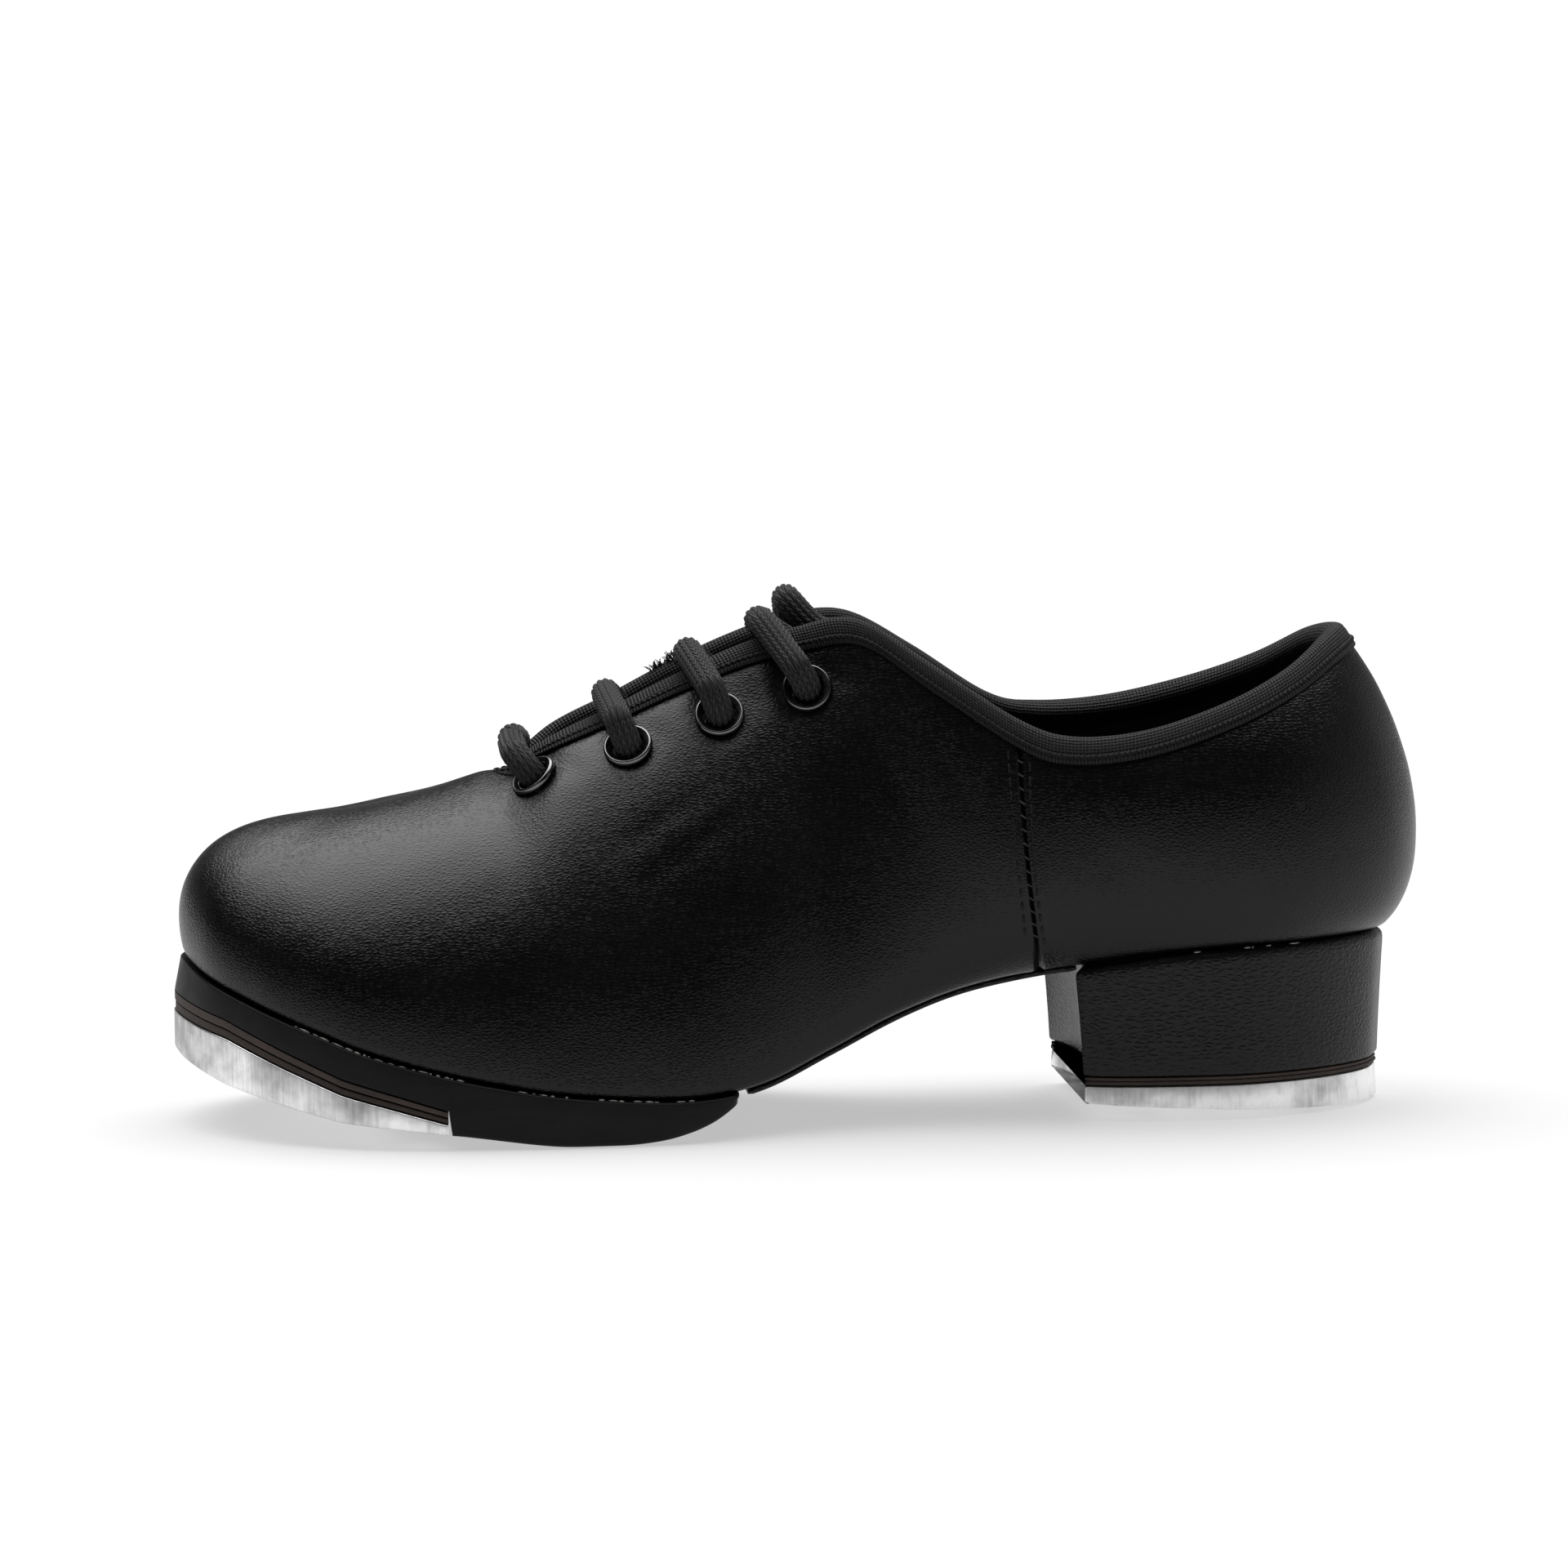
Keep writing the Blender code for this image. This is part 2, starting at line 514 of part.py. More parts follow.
def lace_route():
    """The lace's points: tail, over the edge, through the eyelets row by row, and out to the other tail."""
    centre, normal, place = {}, {}, {}
    for name, point, direction, station, below in eyelet_places():
        key = (name.split("_")[1][0], int(name[-1]))
        centre[key], normal[key] = point, direction
        place[key] = np.array([station, below])

    def through(key, toward, outside=4.5):
        """From inside the eyelet up and out over its flange, towards a point."""
        c, n = centre[key], normal[key]
        way = toward - c
        way = way - n * np.dot(way, n)
        way /= np.linalg.norm(way)
        return [c - n * 5.0, c - n * 1.0, c + n * 2.4 + way * 0.4, c + n * outside + way * 2.6,
                c + n * (outside + 0.3) + way * 5.0]

    def round_edge(key, *angles, reach=LACE_EDGE_REACH):
        """Round the folded edge, from its outside (0 degrees) over its top (90) to the inside (180)."""
        lean = (LACE_LEAN if key[0] == "l" else LACE_MEDIAL_LEAN)[key[1] - 1]
        station = station_at_x(centre[key][0] + lean, 0, key[0] == "m")
        top, n = on_surface(station, 0, 0)
        rise = top - on_surface(station, 2, 0)[0]
        rise /= np.linalg.norm(rise)
        middle = top - n * EDGE_MIDDLE[0] - rise * EDGE_MIDDLE[1]
        turns = np.radians(angles)
        return [middle + reach * (n * math.cos(a) + rise * math.sin(a)) for a in turns]

    def outwards(key):
        """From inside an eyelet out and up to the folded edge."""
        if key[1] == 1:
            edge = round_edge(key, 12, 40)
        else:
            edge = round_edge(key, 12, 50) + round_edge(key, 92, reach=LACE_CREST_REACH)
        return through(key, edge[0]) + edge

    def crossing(number):
        """From inside a lateral eyelet over the lateral edge and under the medial facing to its eyelet."""
        other = ("m", number)
        under_edge = round_edge(other, 192, reach=LACE_UNDER_EDGE_REACH)
        inner = centre[other] - normal[other] * LACE_RUN_DEPTH
        way = under_edge[0] - inner
        return outwards(("l", number)) + under_edge + [inner + way / np.linalg.norm(way) * 2.2]

    def outer_run(a, b):
        """Out of one medial eyelet, along the leather, and into the next."""
        middle = (centre[a] + centre[b]) / 2 + (normal[a] + normal[b]) * 1.8
        return through(a, centre[b], 4.4)[:-1] + [middle] + through(b, centre[a], 4.4)[-2::-1]

    def run_below(a, b, sag=0.0):
        """Under the facing from one eyelet to another, sagging away from the facing's edge by sag."""
        start, end = centre[a] - normal[a] * LACE_RUN_DEPTH, centre[b] - normal[b] * LACE_RUN_DEPTH
        along = (end - start) / np.linalg.norm(end - start)
        points = [start + along * 2.2]
        if sag:
            for share in (0.15, 0.38, 0.62, 0.85):
                station, below = (1 - share) * place[a] + share * place[b]
                points.append(on_surface(station, below + sag, LACE_RUN_DEPTH)[0])
        return points + [end - along * 2.2]

    lateral_tail = ((64.0, -17.5, 43.0), (50.0, -16.5, 41.2), (37.0, -16.5, 38.8), (28.0, -18.0, 38.5),
                    (22.0, -20.5, 46.0), (19.5, -20.0, 58.0), (17.5, -16.0, 70.0), (15.5, -10.0, 82.0),
                    (11.5, -4.5, 90.5), (5.0, -1.8, 93.0), (-1.0, 0.0, 94.5))
    medial_tail = ((64.0, 16.5, 43.0), (50.0, 15.5, 41.2), (37.0, 15.0, 38.8), (28.0, 15.5, 38.5),
                   (23.0, 17.5, 46.0), (20.5, 18.0, 58.0), (18.5, 15.5, 70.0), (16.5, 11.5, 82.0),
                   (13.5, 7.0, 92.0), (8.5, 4.8, 95.5), (3.5, 4.6, 97.5))
    route = [np.array(point) for point in lateral_tail] + outwards(("l", 4))[::-1]
    route += run_below(("l", 4), ("l", 3)) + crossing(3)
    route += outer_run(("m", 3), ("m", 2)) + crossing(2)[::-1]
    route += run_below(("l", 2), ("l", 1)) + outwards(("l", 1)) + outwards(("m", 1))[::-1]
    route += run_below(("m", 1), ("m", 4), sag=7.0)
    route += outwards(("m", 4)) + [np.array(point) for point in medial_tail[::-1]]
    return route


def curve_tube(name, route, radius, spacing, mat):
    """A round tube with flat ends along the smooth curve through the route's points."""
    route = np.array(route, float)
    places = [0.0]
    for n in range(len(route) - 1):
        parts = max(1, round(float(np.linalg.norm(route[n + 1] - route[n])) / spacing))
        places += [n + (k + 1) / parts for k in range(parts)]
    points = [catmull(route, p) for p in places]
    curve = bpy.data.curves.new(name, "CURVE")
    curve.dimensions = "3D"
    curve.bevel_depth = radius * MM
    curve.bevel_resolution = 2
    curve.use_fill_caps = True
    spline = curve.splines.new("POLY")
    spline.points.add(len(points) - 1)
    for point, place in zip(spline.points, points):
        point.co = (*(place * MM), 1.0)
    obj = bpy.data.objects.new(name, curve)
    obj.data.materials.append(mat)
    bpy.context.scene.collection.objects.link(obj)
    return obj


def make_lace(mat, plastic):
    route = lace_route()
    curve_tube("shoelace", route, LACE_RADIUS, 9.0, mat)
    for name, end, before in (("aglet_lateral", route[0], route[1]), ("aglet_medial", route[-1], route[-2])):
        ahead = (end - before) / np.linalg.norm(end - before)
        ahead[2] = 0.12
        profile = ((LACE_RADIUS - 0.3, GAP), (LACE_RADIUS - 0.3, 15.0), (LACE_RADIUS - 1.0, 16.0))
        turned(name, profile, end, ahead, plastic, sides=10)


def make_bottom(board, sock, steel, cork, leather):
    bottom_layer("insole_board", -118.5, 114.0, 4.8, INSOLE, board)
    bottom_layer("sock_liner", -117.5, 113.0, 5.6, SOCK, sock)
    bottom_layer("bottom_filler", -106.0, -14.0, 13.5, FILLER, cork)
    bottom_layer("waist_cover", -12.5, 52.5, 2.5, WAIST_COVER, leather)
    sections = []
    for x in np.linspace(*SHANK_X, 12):
        low, high = seam_z(x) + SHANK[0], seam_z(x) + SHANK[1]
        half = SHANK_HALF_WIDTH
        sections.append([(x, -half, high), (x, half, high), (x, -half, low), (x, half, low)])
    slab("shank", sections, steel)


def make_outsole(rubber):
    """The forepart sole: a step for the tap under the toe, and full thickness under the ball."""
    def top(x):
        return seam_z(x) - GAP

    toe_end = station_of_seam_x(SOLE_UNDER_TAP[-1][0])
    ball_start = station_of_seam_x(SOLE_UNDER_BALL[0][0])
    sections = []
    for station in [*range(0, int(toe_end) + 1), toe_end]:
        reach = float(np.interp(station, (0, 6), (2.2, 1.0)))
        sections.append(flat_section(station, 0.8, reach, top, lambda x: under(SOLE_UNDER_TAP, x)))
    for station in [ball_start, *range(int(ball_start) + 1, 9 * ROW_STEPS + 1)]:
        sections.append(flat_section(station, 0.8, 0.2, top, lambda x: under(SOLE_UNDER_BALL, x)))
    for x, rounding in SOLE_REAR:
        sections.append(flat_section(station_of_seam_x(x), 0.6 - rounding, -rounding, top,
                                     lambda x: under(SOLE_UNDER_BALL, x)))
    return slab("outsole", sections, rubber)


def toe_piece(name, top, foot, back_off, mat):
    """A board or tap under the toe, from the tip to TAP_END_X, its rear edge hollowed."""
    end = station_of_seam_x(TAP_END_X)
    sections = []
    for station in [*range(0, int(end) + 1), end]:
        reach = float(np.interp(station, (0, 6), (2.4, 1.1))) - back_off
        sections.append(flat_section(station, reach, reach, top, foot))
    return slab(name, sections, mat)


def board_share(share, lift):
    """Height inside the stack of boards: 0 at its foot, 1 at its top."""
    def height(x):
        top = under(SOLE_UNDER_TAP, x) - GAP
        return top - under(BOARD_STACK, x) * (1 - share) + lift
    return height


def screw_pair(name, x, y, foot_z, slope, length, mat, bores):
    """A countersunk screw set into a foot surface, and the cutters for the holes around it."""
    axis = Vector((-slope, 0, 1)).normalized()
    foot = Vector((x, y, foot_z))
    head, shank = 3.1, 1.3
    profile = ((head, 0.25), (head, 0.7), (shank, 2.3), (shank, length - 1.5), (0.4, length))
    turned(name, profile, foot, axis, mat, sides=8)
    wide = ((head + 0.35, -2.0), (head + 0.35, 0.8), (shank + 0.35, 2.6), (shank + 0.35, length + 1.0))
    hole = cutter(turned(f"hole_{name}", wide, foot, axis, mat, sides=8))
    for target in bores:
        cut(target, hole)


def make_toe_tap(aluminium, board, steel, outsole):
    lower_top = board_share(0.5, -0.15)
    upper = toe_piece("toe_board_upper", board_share(1, 0), board_share(0.5, 0.15), 0.3, board)
    lower = toe_piece("toe_board_lower", lower_top, board_share(0, 0), 0.2, board)
    tap = toe_piece("toe_tap", board_share(0, -GAP), lambda x: under(TAP_UNDER, x), 0.0, aluminium)
    notch_profile = ((TAP_NOTCH_RADIUS, -5.0), (TAP_NOTCH_RADIUS, 30.0))
    notch_centre = (TAP_NOTCH_X + TAP_NOTCH_RADIUS, 1.0, 0)
    notch = cutter(turned("hole_tap_notch", notch_profile, notch_centre, (0, 0, 1), aluminium, sides=40))
    for piece in (upper, lower, tap):
        cut(piece, notch)
    for number, (x, y, length) in enumerate(TOE_SCREWS, 1):
        slope = (under(TAP_UNDER, x + 4) - under(TAP_UNDER, x - 4)) / 8
        screw_pair(f"toe_tap_screw_{number}", x, y, under(TAP_UNDER, x), slope, length, steel,
                   (upper, lower, tap, outsole))


def heel_loop(out, hollow_points=5):
    """The heel's outline, moved outwards: lateral side, back, medial side, and the hollow breast."""
    half = np.array(HEEL_HALF_OUTLINE)
    side = np.array([catmull(half, p) for p in np.arange(0, len(half) - 0.75, 0.5)])
    loop = [(x, -y) for x, y in side] + [(x, y) for x, y in side[-2::-1]]
    front_x, front_y = HEEL_HALF_OUTLINE[0]
    for n in range(1, hollow_points + 1):
        y = front_y * (1 - 2 * n / (hollow_points + 1))
        loop.append((front_x + HEEL_BREAST_HOLLOW * (1 - (y / front_y) ** 2), y))
    loop = np.array(loop)
    along = np.roll(loop, -1, axis=0) - np.roll(loop, 1, axis=0)
    normal = np.stack([along[:, 1], -along[:, 0]], axis=1)
    normal /= np.linalg.norm(normal, axis=1, keepdims=True)
    corner = np.zeros(len(loop))
    corner[[0, 2 * len(side) - 2]] = 1
    return loop + normal * (out * (1 + 0.35 * corner))[:, None]


def heel_solid(name, out_foot, out_top, foot_z, top_z, mat):
    """A heel piece between two heights, which are functions of x."""
    foot, top = heel_loop(out_foot), heel_loop(out_top)
    count = len(foot)
    points = [(x, y, foot_z(x)) for x, y in foot] + [(x, y, top_z(x)) for x, y in top]
    faces = [tuple(range(count))[::-1], tuple(range(count, 2 * count))]
    faces += [(n, (n + 1) % count, count + (n + 1) % count, count + n) for n in range(count)]
    return add_solid(name, points, faces, mat)


def heel_seat(x):
    return seam_z(x) - GAP


def make_heel(wood, leather, board, aluminium, steel, insole):
    grow = HEEL_TOP_GROWTH
    inner = -HEEL_COVER_THICKNESS
    cover = heel_solid("heel_cover", 0.0, grow, lambda x: HEEL_FOOT_Z, heel_seat, leather)
    room = cutter(heel_solid("hole_heel_cover", inner, inner + grow, lambda x: HEEL_FOOT_Z - 1,
                             lambda x: heel_seat(x) + 1, leather))
    cut(cover, room)
    block = heel_solid("heel_block", inner - GAP, inner - GAP + grow * 0.9, lambda x: HEEL_FOOT_Z,
                       lambda x: heel_seat(x) - 0.1, wood)
    lift = heel_solid("heel_board", -0.3, -0.3, lambda x: HEEL_BOARD_Z[0], lambda x: HEEL_BOARD_Z[1], board)
    front, back = HEEL_HALF_OUTLINE[0][0], HEEL_HALF_OUTLINE[-1][0]

    def tap_foot(x):
        return float(np.interp(x, (front, back), HEEL_TAP_FOOT_Z))

    tap = heel_solid("heel_tap", -0.2, -0.6, tap_foot, lambda x: HEEL_TAP_TOP_Z, aluminium)
    slope = (HEEL_TAP_FOOT_Z[1] - HEEL_TAP_FOOT_Z[0]) / (back - front)
    for number, (x, y) in enumerate(HEEL_SCREWS, 1):
        screw_pair(f"heel_tap_screw_{number}", x, y, tap_foot(x), slope, HEEL_SCREW_LENGTH, steel,
                   (tap, lift, block))
    for number, (x, y) in enumerate(HEEL_NAILS, 1):
        top = seam_z(x) + INSOLE[1] - 0.2
        point = top - HEEL_NAIL_DEPTH
        profile = ((0.3, 0.0), (1.1, 2.5), (1.1, HEEL_NAIL_DEPTH - 1.0), (2.3, HEEL_NAIL_DEPTH - 0.9),
                   (2.3, HEEL_NAIL_DEPTH))
        turned(f"heel_nail_{number}", profile, (x, y, point), (0, 0, 1), steel, sides=8)
        shaft = ((1.5, -1.5), (1.5, HEEL_NAIL_DEPTH - 2.0))
        wide = ((2.7, HEEL_NAIL_DEPTH - 5.0), (2.7, HEEL_NAIL_DEPTH + 3.0))
        cut(block, cutter(turned(f"hole_nail_shaft_{number}", shaft, (x, y, point), (0, 0, 1), steel, sides=8)))
        cut(insole, cutter(turned(f"hole_nail_head_{number}", wide, (x, y, point), (0, 0, 1), steel, sides=8)))


def main():
    clear_scene()
    leather = material("black_leather", (0.012, 0.012, 0.012), 0.42)
    lining = material("black_lining", (0.02, 0.02, 0.02), 0.8)
    fibre = material("fibre_stiffener", (0.55, 0.5, 0.42), 0.9)
    ribbon = material("black_ribbon", (0.015, 0.015, 0.015), 0.85)
    cord = material("black_cord", (0.018, 0.018, 0.018), 0.8)
    gunmetal = material("gunmetal", (0.05, 0.05, 0.055), 0.25, 1.0)
    aluminium = material("aluminium", (0.8, 0.8, 0.81), 0.3, 1.0)
    steel = material("steel", (0.55, 0.55, 0.56), 0.35, 1.0)
    leatherboard = material("brown_leatherboard", (0.09, 0.055, 0.04), 0.75)
    rubber = material("black_sole", (0.012, 0.012, 0.012), 0.5)
    wood = material("heel_wood", (0.5, 0.36, 0.22), 0.7)
    cork = material("cork", (0.4, 0.26, 0.14), 0.9)
    plastic = material("black_plastic", (0.02, 0.02, 0.02), 0.3)

    vamp, vamp_lining = make_upper(leather, lining)
    make_stiffeners(fibre)
    make_binding(ribbon)
    make_tongue(leather)
    make_eyelets(gunmetal, vamp, vamp_lining)
    make_lace(cord, plastic)
    make_bottom(leatherboard, lining, steel, cork, leather)
    outsole = make_outsole(rubber)
    make_toe_tap(aluminium, leatherboard, steel, outsole)
    make_heel(wood, leather, leatherboard, aluminium, steel, bpy.data.objects["insole_board"])


main()
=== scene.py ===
"""The looks of the left tap shoe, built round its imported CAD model.

Lengths are in millimetres until a mesh is made; MM turns them into metres. The toe points along -X,
the outer (lateral) side of the foot is -Y, and +Z is up. The upper is one surface: stations run round
the shoe from the toe tip over the lateral side and the heel to the medial side, and steps run from the
lasting margin under the foot up to the ridge, facing or topline.
"""
import math

import bmesh
import bpy
import numpy as np
from mathutils import Matrix, Vector


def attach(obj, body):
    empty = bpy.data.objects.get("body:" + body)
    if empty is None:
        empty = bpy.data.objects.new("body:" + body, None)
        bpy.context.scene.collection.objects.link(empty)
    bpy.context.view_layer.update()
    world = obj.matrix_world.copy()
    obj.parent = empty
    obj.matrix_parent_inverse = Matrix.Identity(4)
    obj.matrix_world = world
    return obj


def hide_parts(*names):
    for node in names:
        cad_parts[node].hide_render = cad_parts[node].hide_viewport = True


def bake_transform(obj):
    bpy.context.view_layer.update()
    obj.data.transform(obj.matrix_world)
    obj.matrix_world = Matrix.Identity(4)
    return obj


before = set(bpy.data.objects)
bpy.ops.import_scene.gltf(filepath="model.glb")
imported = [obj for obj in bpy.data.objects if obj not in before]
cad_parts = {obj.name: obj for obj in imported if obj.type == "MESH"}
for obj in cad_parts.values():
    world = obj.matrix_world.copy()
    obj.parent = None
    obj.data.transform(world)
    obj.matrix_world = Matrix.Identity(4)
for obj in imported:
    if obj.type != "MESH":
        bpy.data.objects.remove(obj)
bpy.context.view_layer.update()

MM = 0.001
UP = np.array([0.0, 0.0, 1.0])

# seam x, seam z, seam y lateral, seam y medial,
# top x, top y lateral, top y medial, top z lateral, top z medial,
# bulge out and up at the seam, bulge out and down at the top
ROWS = (
    (-124.0, 33.2, 4.0, 4.0, -96.0, 6.5, 6.5, 61.4, 61.4, 4.6, 17, 23, 0.6),
    (-119.3, 30.3, -14.0, 21.5, -93.5, 6.5, 6.5, 61.7, 61.7, 4.5, 17, 23, 0.6),
    (-109.3, 26.2, -27.0, 33.5, -88.0, 6.5, 6.5, 62.6, 62.6, 4.0, 18, 23, 0.8),
    (-99.0, 22.4, -35.0, 39.5, -80.5, 6.2, 6.2, 64.3, 64.3, 4.0, 20, 25, 1.0),
    (-88.8, 18.6, -40.0, 42.3, -72.5, 5.6, 5.6, 66.4, 66.4, 3.5, 22, 26, 2.0),
    (-75.8, 15.0, -42.8, 43.5, -64.5, 4.8, 4.8, 69.0, 69.0, 3.0, 24, 27.3, 3.5),
    (-63.0, 12.2, -43.8, 43.3, -58.5, 4.0, 4.0, 70.4, 70.4, 2.5, 25, 28.5, 3.4),
    (-51.0, 10.2, -44.0, 42.0, -49.0, -4.5, 9.5, 76.6, 77.5, 2.5, 25, 22, 6.0),
    (-37.0, 8.9, -43.2, 39.2, -37.0, -6.0, 10.3, 82.4, 83.4, 3.0, 24, 20.5, 8.0),
    (-23.0, 8.5, -41.0, 34.5, -25.0, -6.0, 11.0, 88.3, 89.6, 3.5, 22, 19.5, 9.0),
    (-10.0, 10.4, -36.0, 29.0, -13.0, -6.0, 11.3, 93.7, 95.0, 5.0, 20, 18, 11.0),
    (4.0, 16.0, -29.0, 23.5, -1.0, -7.0, 11.6, 97.4, 99.0, 8.0, 15, 14, 14.0),
    (18.0, 22.2, -24.0, 20.5, 11.0, -12.5, 13.5, 99.2, 99.3, 12.0, 11, 10, 18.0),
    (31.0, 26.7, -21.5, 20.5, 25.0, -20.5, 19.0, 90.4, 91.6, 14.0, 8, 8, 20.0),
    (46.0, 29.9, -21.8, 21.8, 41.5, -26.7, 24.8, 79.7, 81.0, 15.0, 6, 8, 18.0),
    (58.0, 31.7, -25.5, 25.5, 52.0, -28.0, 26.5, 76.4, 79.2, 10.0, 10, 7, 14.0),
    (75.0, 34.0, -28.0, 28.0, 67.0, -28.0, 27.0, 77.6, 80.2, 8.0, 12, 8, 12.0),
    (92.0, 35.0, -26.5, 26.5, 83.5, -25.3, 25.3, 82.7, 84.0, 9.0, 12, 10, 14.0),
    (104.6, 35.4, -21.0, 21.0, 96.5, -19.2, 19.6, 88.6, 89.0, 11.0, 11, 12.8, 16.0),
    (114.5, 35.4, -12.0, 12.0, 106.0, -10.0, 10.5, 94.6, 94.8, 12.4, 10, 15.6, 18.0),
    (118.5, 35.0, 0.0, 0.0, 110.0, 0.0, 0.0, 96.4, 96.4, 13.0, 9, 17.5, 20.0),
)
LAST_ROW = len(ROWS) - 1
THROAT_ROW = 6  # the facings part in front of this row
SIDE_SEAM_ROW = 14
LINING_SEAM_ROW = 13
STATIONS_PER_ROW = 9
MARGIN_INSETS = (12.0, 8.0, 4.5)
SEAM_ROUNDING = 1.8
WALL_STEPS = 56

LEATHER_THICKNESS = 1.2
LINING_THICKNESS = 0.8
LINING_START = 1.5
LINING_START_STIFFENED = 2.6
STIFFENER_DEPTHS = (1.5, 2.3)
PUFF_LAST_ROW = 3
COUNTER_FIRST_ROW = 15

# Bottom, as heights above the sole seam, and undersides as x and z
INSOLE = (3.9, 5.9)
SOCK = (6.2, 7.0)
FILLER = (0.2, 3.5)
WAIST_COVER = (-1.5, -0.3)
SOLE_UNDER_TAP = ((-127.0, 26.6), (-115.7, 23.5), (-103.5, 18.1), (-93.1, 13.7), (-82.6, 10.7), (-72.3, 7.6))
SOLE_UNDER_BALL = ((-71.9, 2.7), (-64.8, 1.8), (-56.0, 0.6), (-50.0, 0.0), (-36.0, 0.0), (-29.0, 0.8),
                   (-22.0, 2.9), (-17.5, 5.5), (-13.0, 9.3))
SOLE_REACH = (0.9, 0.25)  # past the seam, at its top and its foot
SOLE_REAR_X = -17.0
SOLE_REAR_RUN = 4.0
SOLE_REAR_TUCK = 9.0
SOLE_REAR_ROUNDING = 0.8
BOARD_STACK = ((-127.0, 3.6), (-100.0, 2.9), (-73.0, 2.2))
TAP_UNDER = ((-126.6, 15.2), (-124.5, 13.8), (-116.0, 10.5), (-103.7, 7.4), (-93.5, 5.1), (-72.6, 2.9))
TAP_END_X = -72.6
TAP_NOTCH_RADIUS = 62.0
TAP_NOTCH_X = -86.0
TOE_SCREWS = ((-111.0, 5.0), (-82.5, -31.0), (-82.5, 33.0))

HEEL_HALF_OUTLINE = ((54.3, 25.0), (61.0, 26.9), (72.0, 27.8), (86.0, 27.0), (98.0, 22.8), (108.0, 16.4),
                     (115.0, 8.8), (118.6, 0.0))
HEEL_BREAST_HOLLOW = 3.5
HEEL_FOOT_Z = 9.0
HEEL_BOARD_Z = (7.2, 8.7)
HEEL_TAP_TOP_Z = 6.9
HEEL_TAP_FOOT_Z = (3.4, 0.0)
HEEL_SCREWS = ((68.0, -16.0), (68.0, 16.0), (107.0, 0.0))

# Lacing
EYELETS = ((-53.7, 12.1), (-35.5, 12.9), (-17.0, 13.8), (0.7, 13.2))  # x, and distance from the facing edge
EYELET_HOLE = 4.2
FRAYED_THREADS = 70
TONGUE_DROP = 10.6  # its middle, below the line between the two edges
PLAIT_COLUMNS = 13
PLAIT_PITCH = 1.3  # of the Vs in each column of the braid
PLAIT_V = 2.0  # how far each V's arms slope, in pitches per column
LACE_RADIUS = 2.75
LACE_SPACING = 0.34  # between the loops of its mesh
EDGE_MIDDLE = (1.15, 0.5)  # the middle of the folded edge, under the leather's face and below its top
LACE_RUN_DEPTH = 7.9  # the lace's runs below the facings
LACE_EDGE_REACH = 4.9  # from the middle of the folded edge to the lace's centre line, where it goes over
LACE_UNDER_EDGE_REACH = 5.4
LACE_CREST_REACH = 6.3  # where it stands free above the edge
LACE_LEAN = (-1.4, -2.4, -3.8, -6.6)  # how far the crossings stand ahead of their lateral eyelets, along x
LACE_MEDIAL_LEAN = (-1.2, -1.0, -1.5, -1.2)

# The camera: angles are raised, turned and rolled, in degrees; lengths are in metres
CAMERA_ANGLES = (5.8, 5.0, -0.45)
CAMERA_LENS = 125.0
CAMERA_TARGET = (-0.003, 0.0, 0.066)
CAMERA_DISTANCE = 1.1

# The studio: floor in metres, the overhead light's extent and softness as slopes, and light levels
FLOOR_SIZE = 6.0
FLOOR_DROP = 0.0002
OVERHEAD_ACROSS = (-0.8, 0.7, 0.35)
OVERHEAD_AHEAD = (-0.22, 0.95, 0.4)
OVERHEAD_LIGHT = 5.5
RIGHT_LIGHT = 0.4
WALL_LIGHT = 0.28
ROOM_LIGHT = 0.03


# ---------------------------------------------------------------- materials

def new_material(name, colour, roughness, metallic=0.0, **sockets):
    made = bpy.data.materials.new(name)
    made.use_nodes = True
    shader = made.node_tree.nodes["Principled BSDF"]
    values = {"Base Color": (*colour, 1.0), "Roughness": roughness, "Metallic": metallic}
    values.update({key.replace("_", " "): value for key, value in sockets.items()})
    for key, value in values.items():
        shader.inputs[key].default_value = value
    return made


def grey(value):
    return (value, value, value)


def add(mat, kind, inputs, **settings):
    """A shader node; an input is a value or another node's output."""
    made = mat.node_tree.nodes.new("ShaderNode" + kind)
    for key, value in settings.items():
        setattr(made, key, value)
    for key, value in inputs.items():
        if isinstance(value, bpy.types.NodeSocket):
            mat.node_tree.links.new(value, made.inputs[key])
        else:
            made.inputs[key].default_value = value
    return made


def place_of(mat, scale=(1, 1, 1), kind="Object"):
    here = add(mat, "TexCoord", {}).outputs[kind]
    return add(mat, "Mapping", {"Vector": here, "Scale": scale}).outputs["Vector"]


def noise(mat, where, scale, detail=2.0, roughness=0.5):
    inputs = {"Vector": where, "Scale": scale, "Detail": detail, "Roughness": roughness}
    return add(mat, "TexNoise", inputs).outputs["Fac"]


def maths(mat, operation, a, b=0.0):
    return add(mat, "Math", {0: a, 1: b}, operation=operation).outputs[0]


def total(mat, *terms):
    """The sum of values, each times its weight."""
    scaled = [maths(mat, "MULTIPLY", value, weight) for value, weight in terms]
    made = scaled[0]
    for term in scaled[1:]:
        made = maths(mat, "ADD", made, term)
    return made


def between(mat, value, low, high, to_low, to_high):
    inputs = {"Value": value, "From Min": low, "From Max": high, "To Min": to_low, "To Max": to_high}
    return add(mat, "MapRange", inputs).outputs["Result"]


def ramp(mat, value, *stops):
    """A colour that follows a value; each stop is a position and a colour."""
    made = add(mat, "ValToRGB", {"Fac": value})
    marks = made.color_ramp.elements
    while len(marks) < len(stops):
        marks.new(0.5)
    for mark, (position, colour) in zip(marks, stops):
        mark.position = position
        mark.color = (*colour, 1.0)
    return made.outputs["Color"]


def feed(mat, socket, value):
    mat.node_tree.links.new(value, mat.node_tree.nodes["Principled BSDF"].inputs[socket])


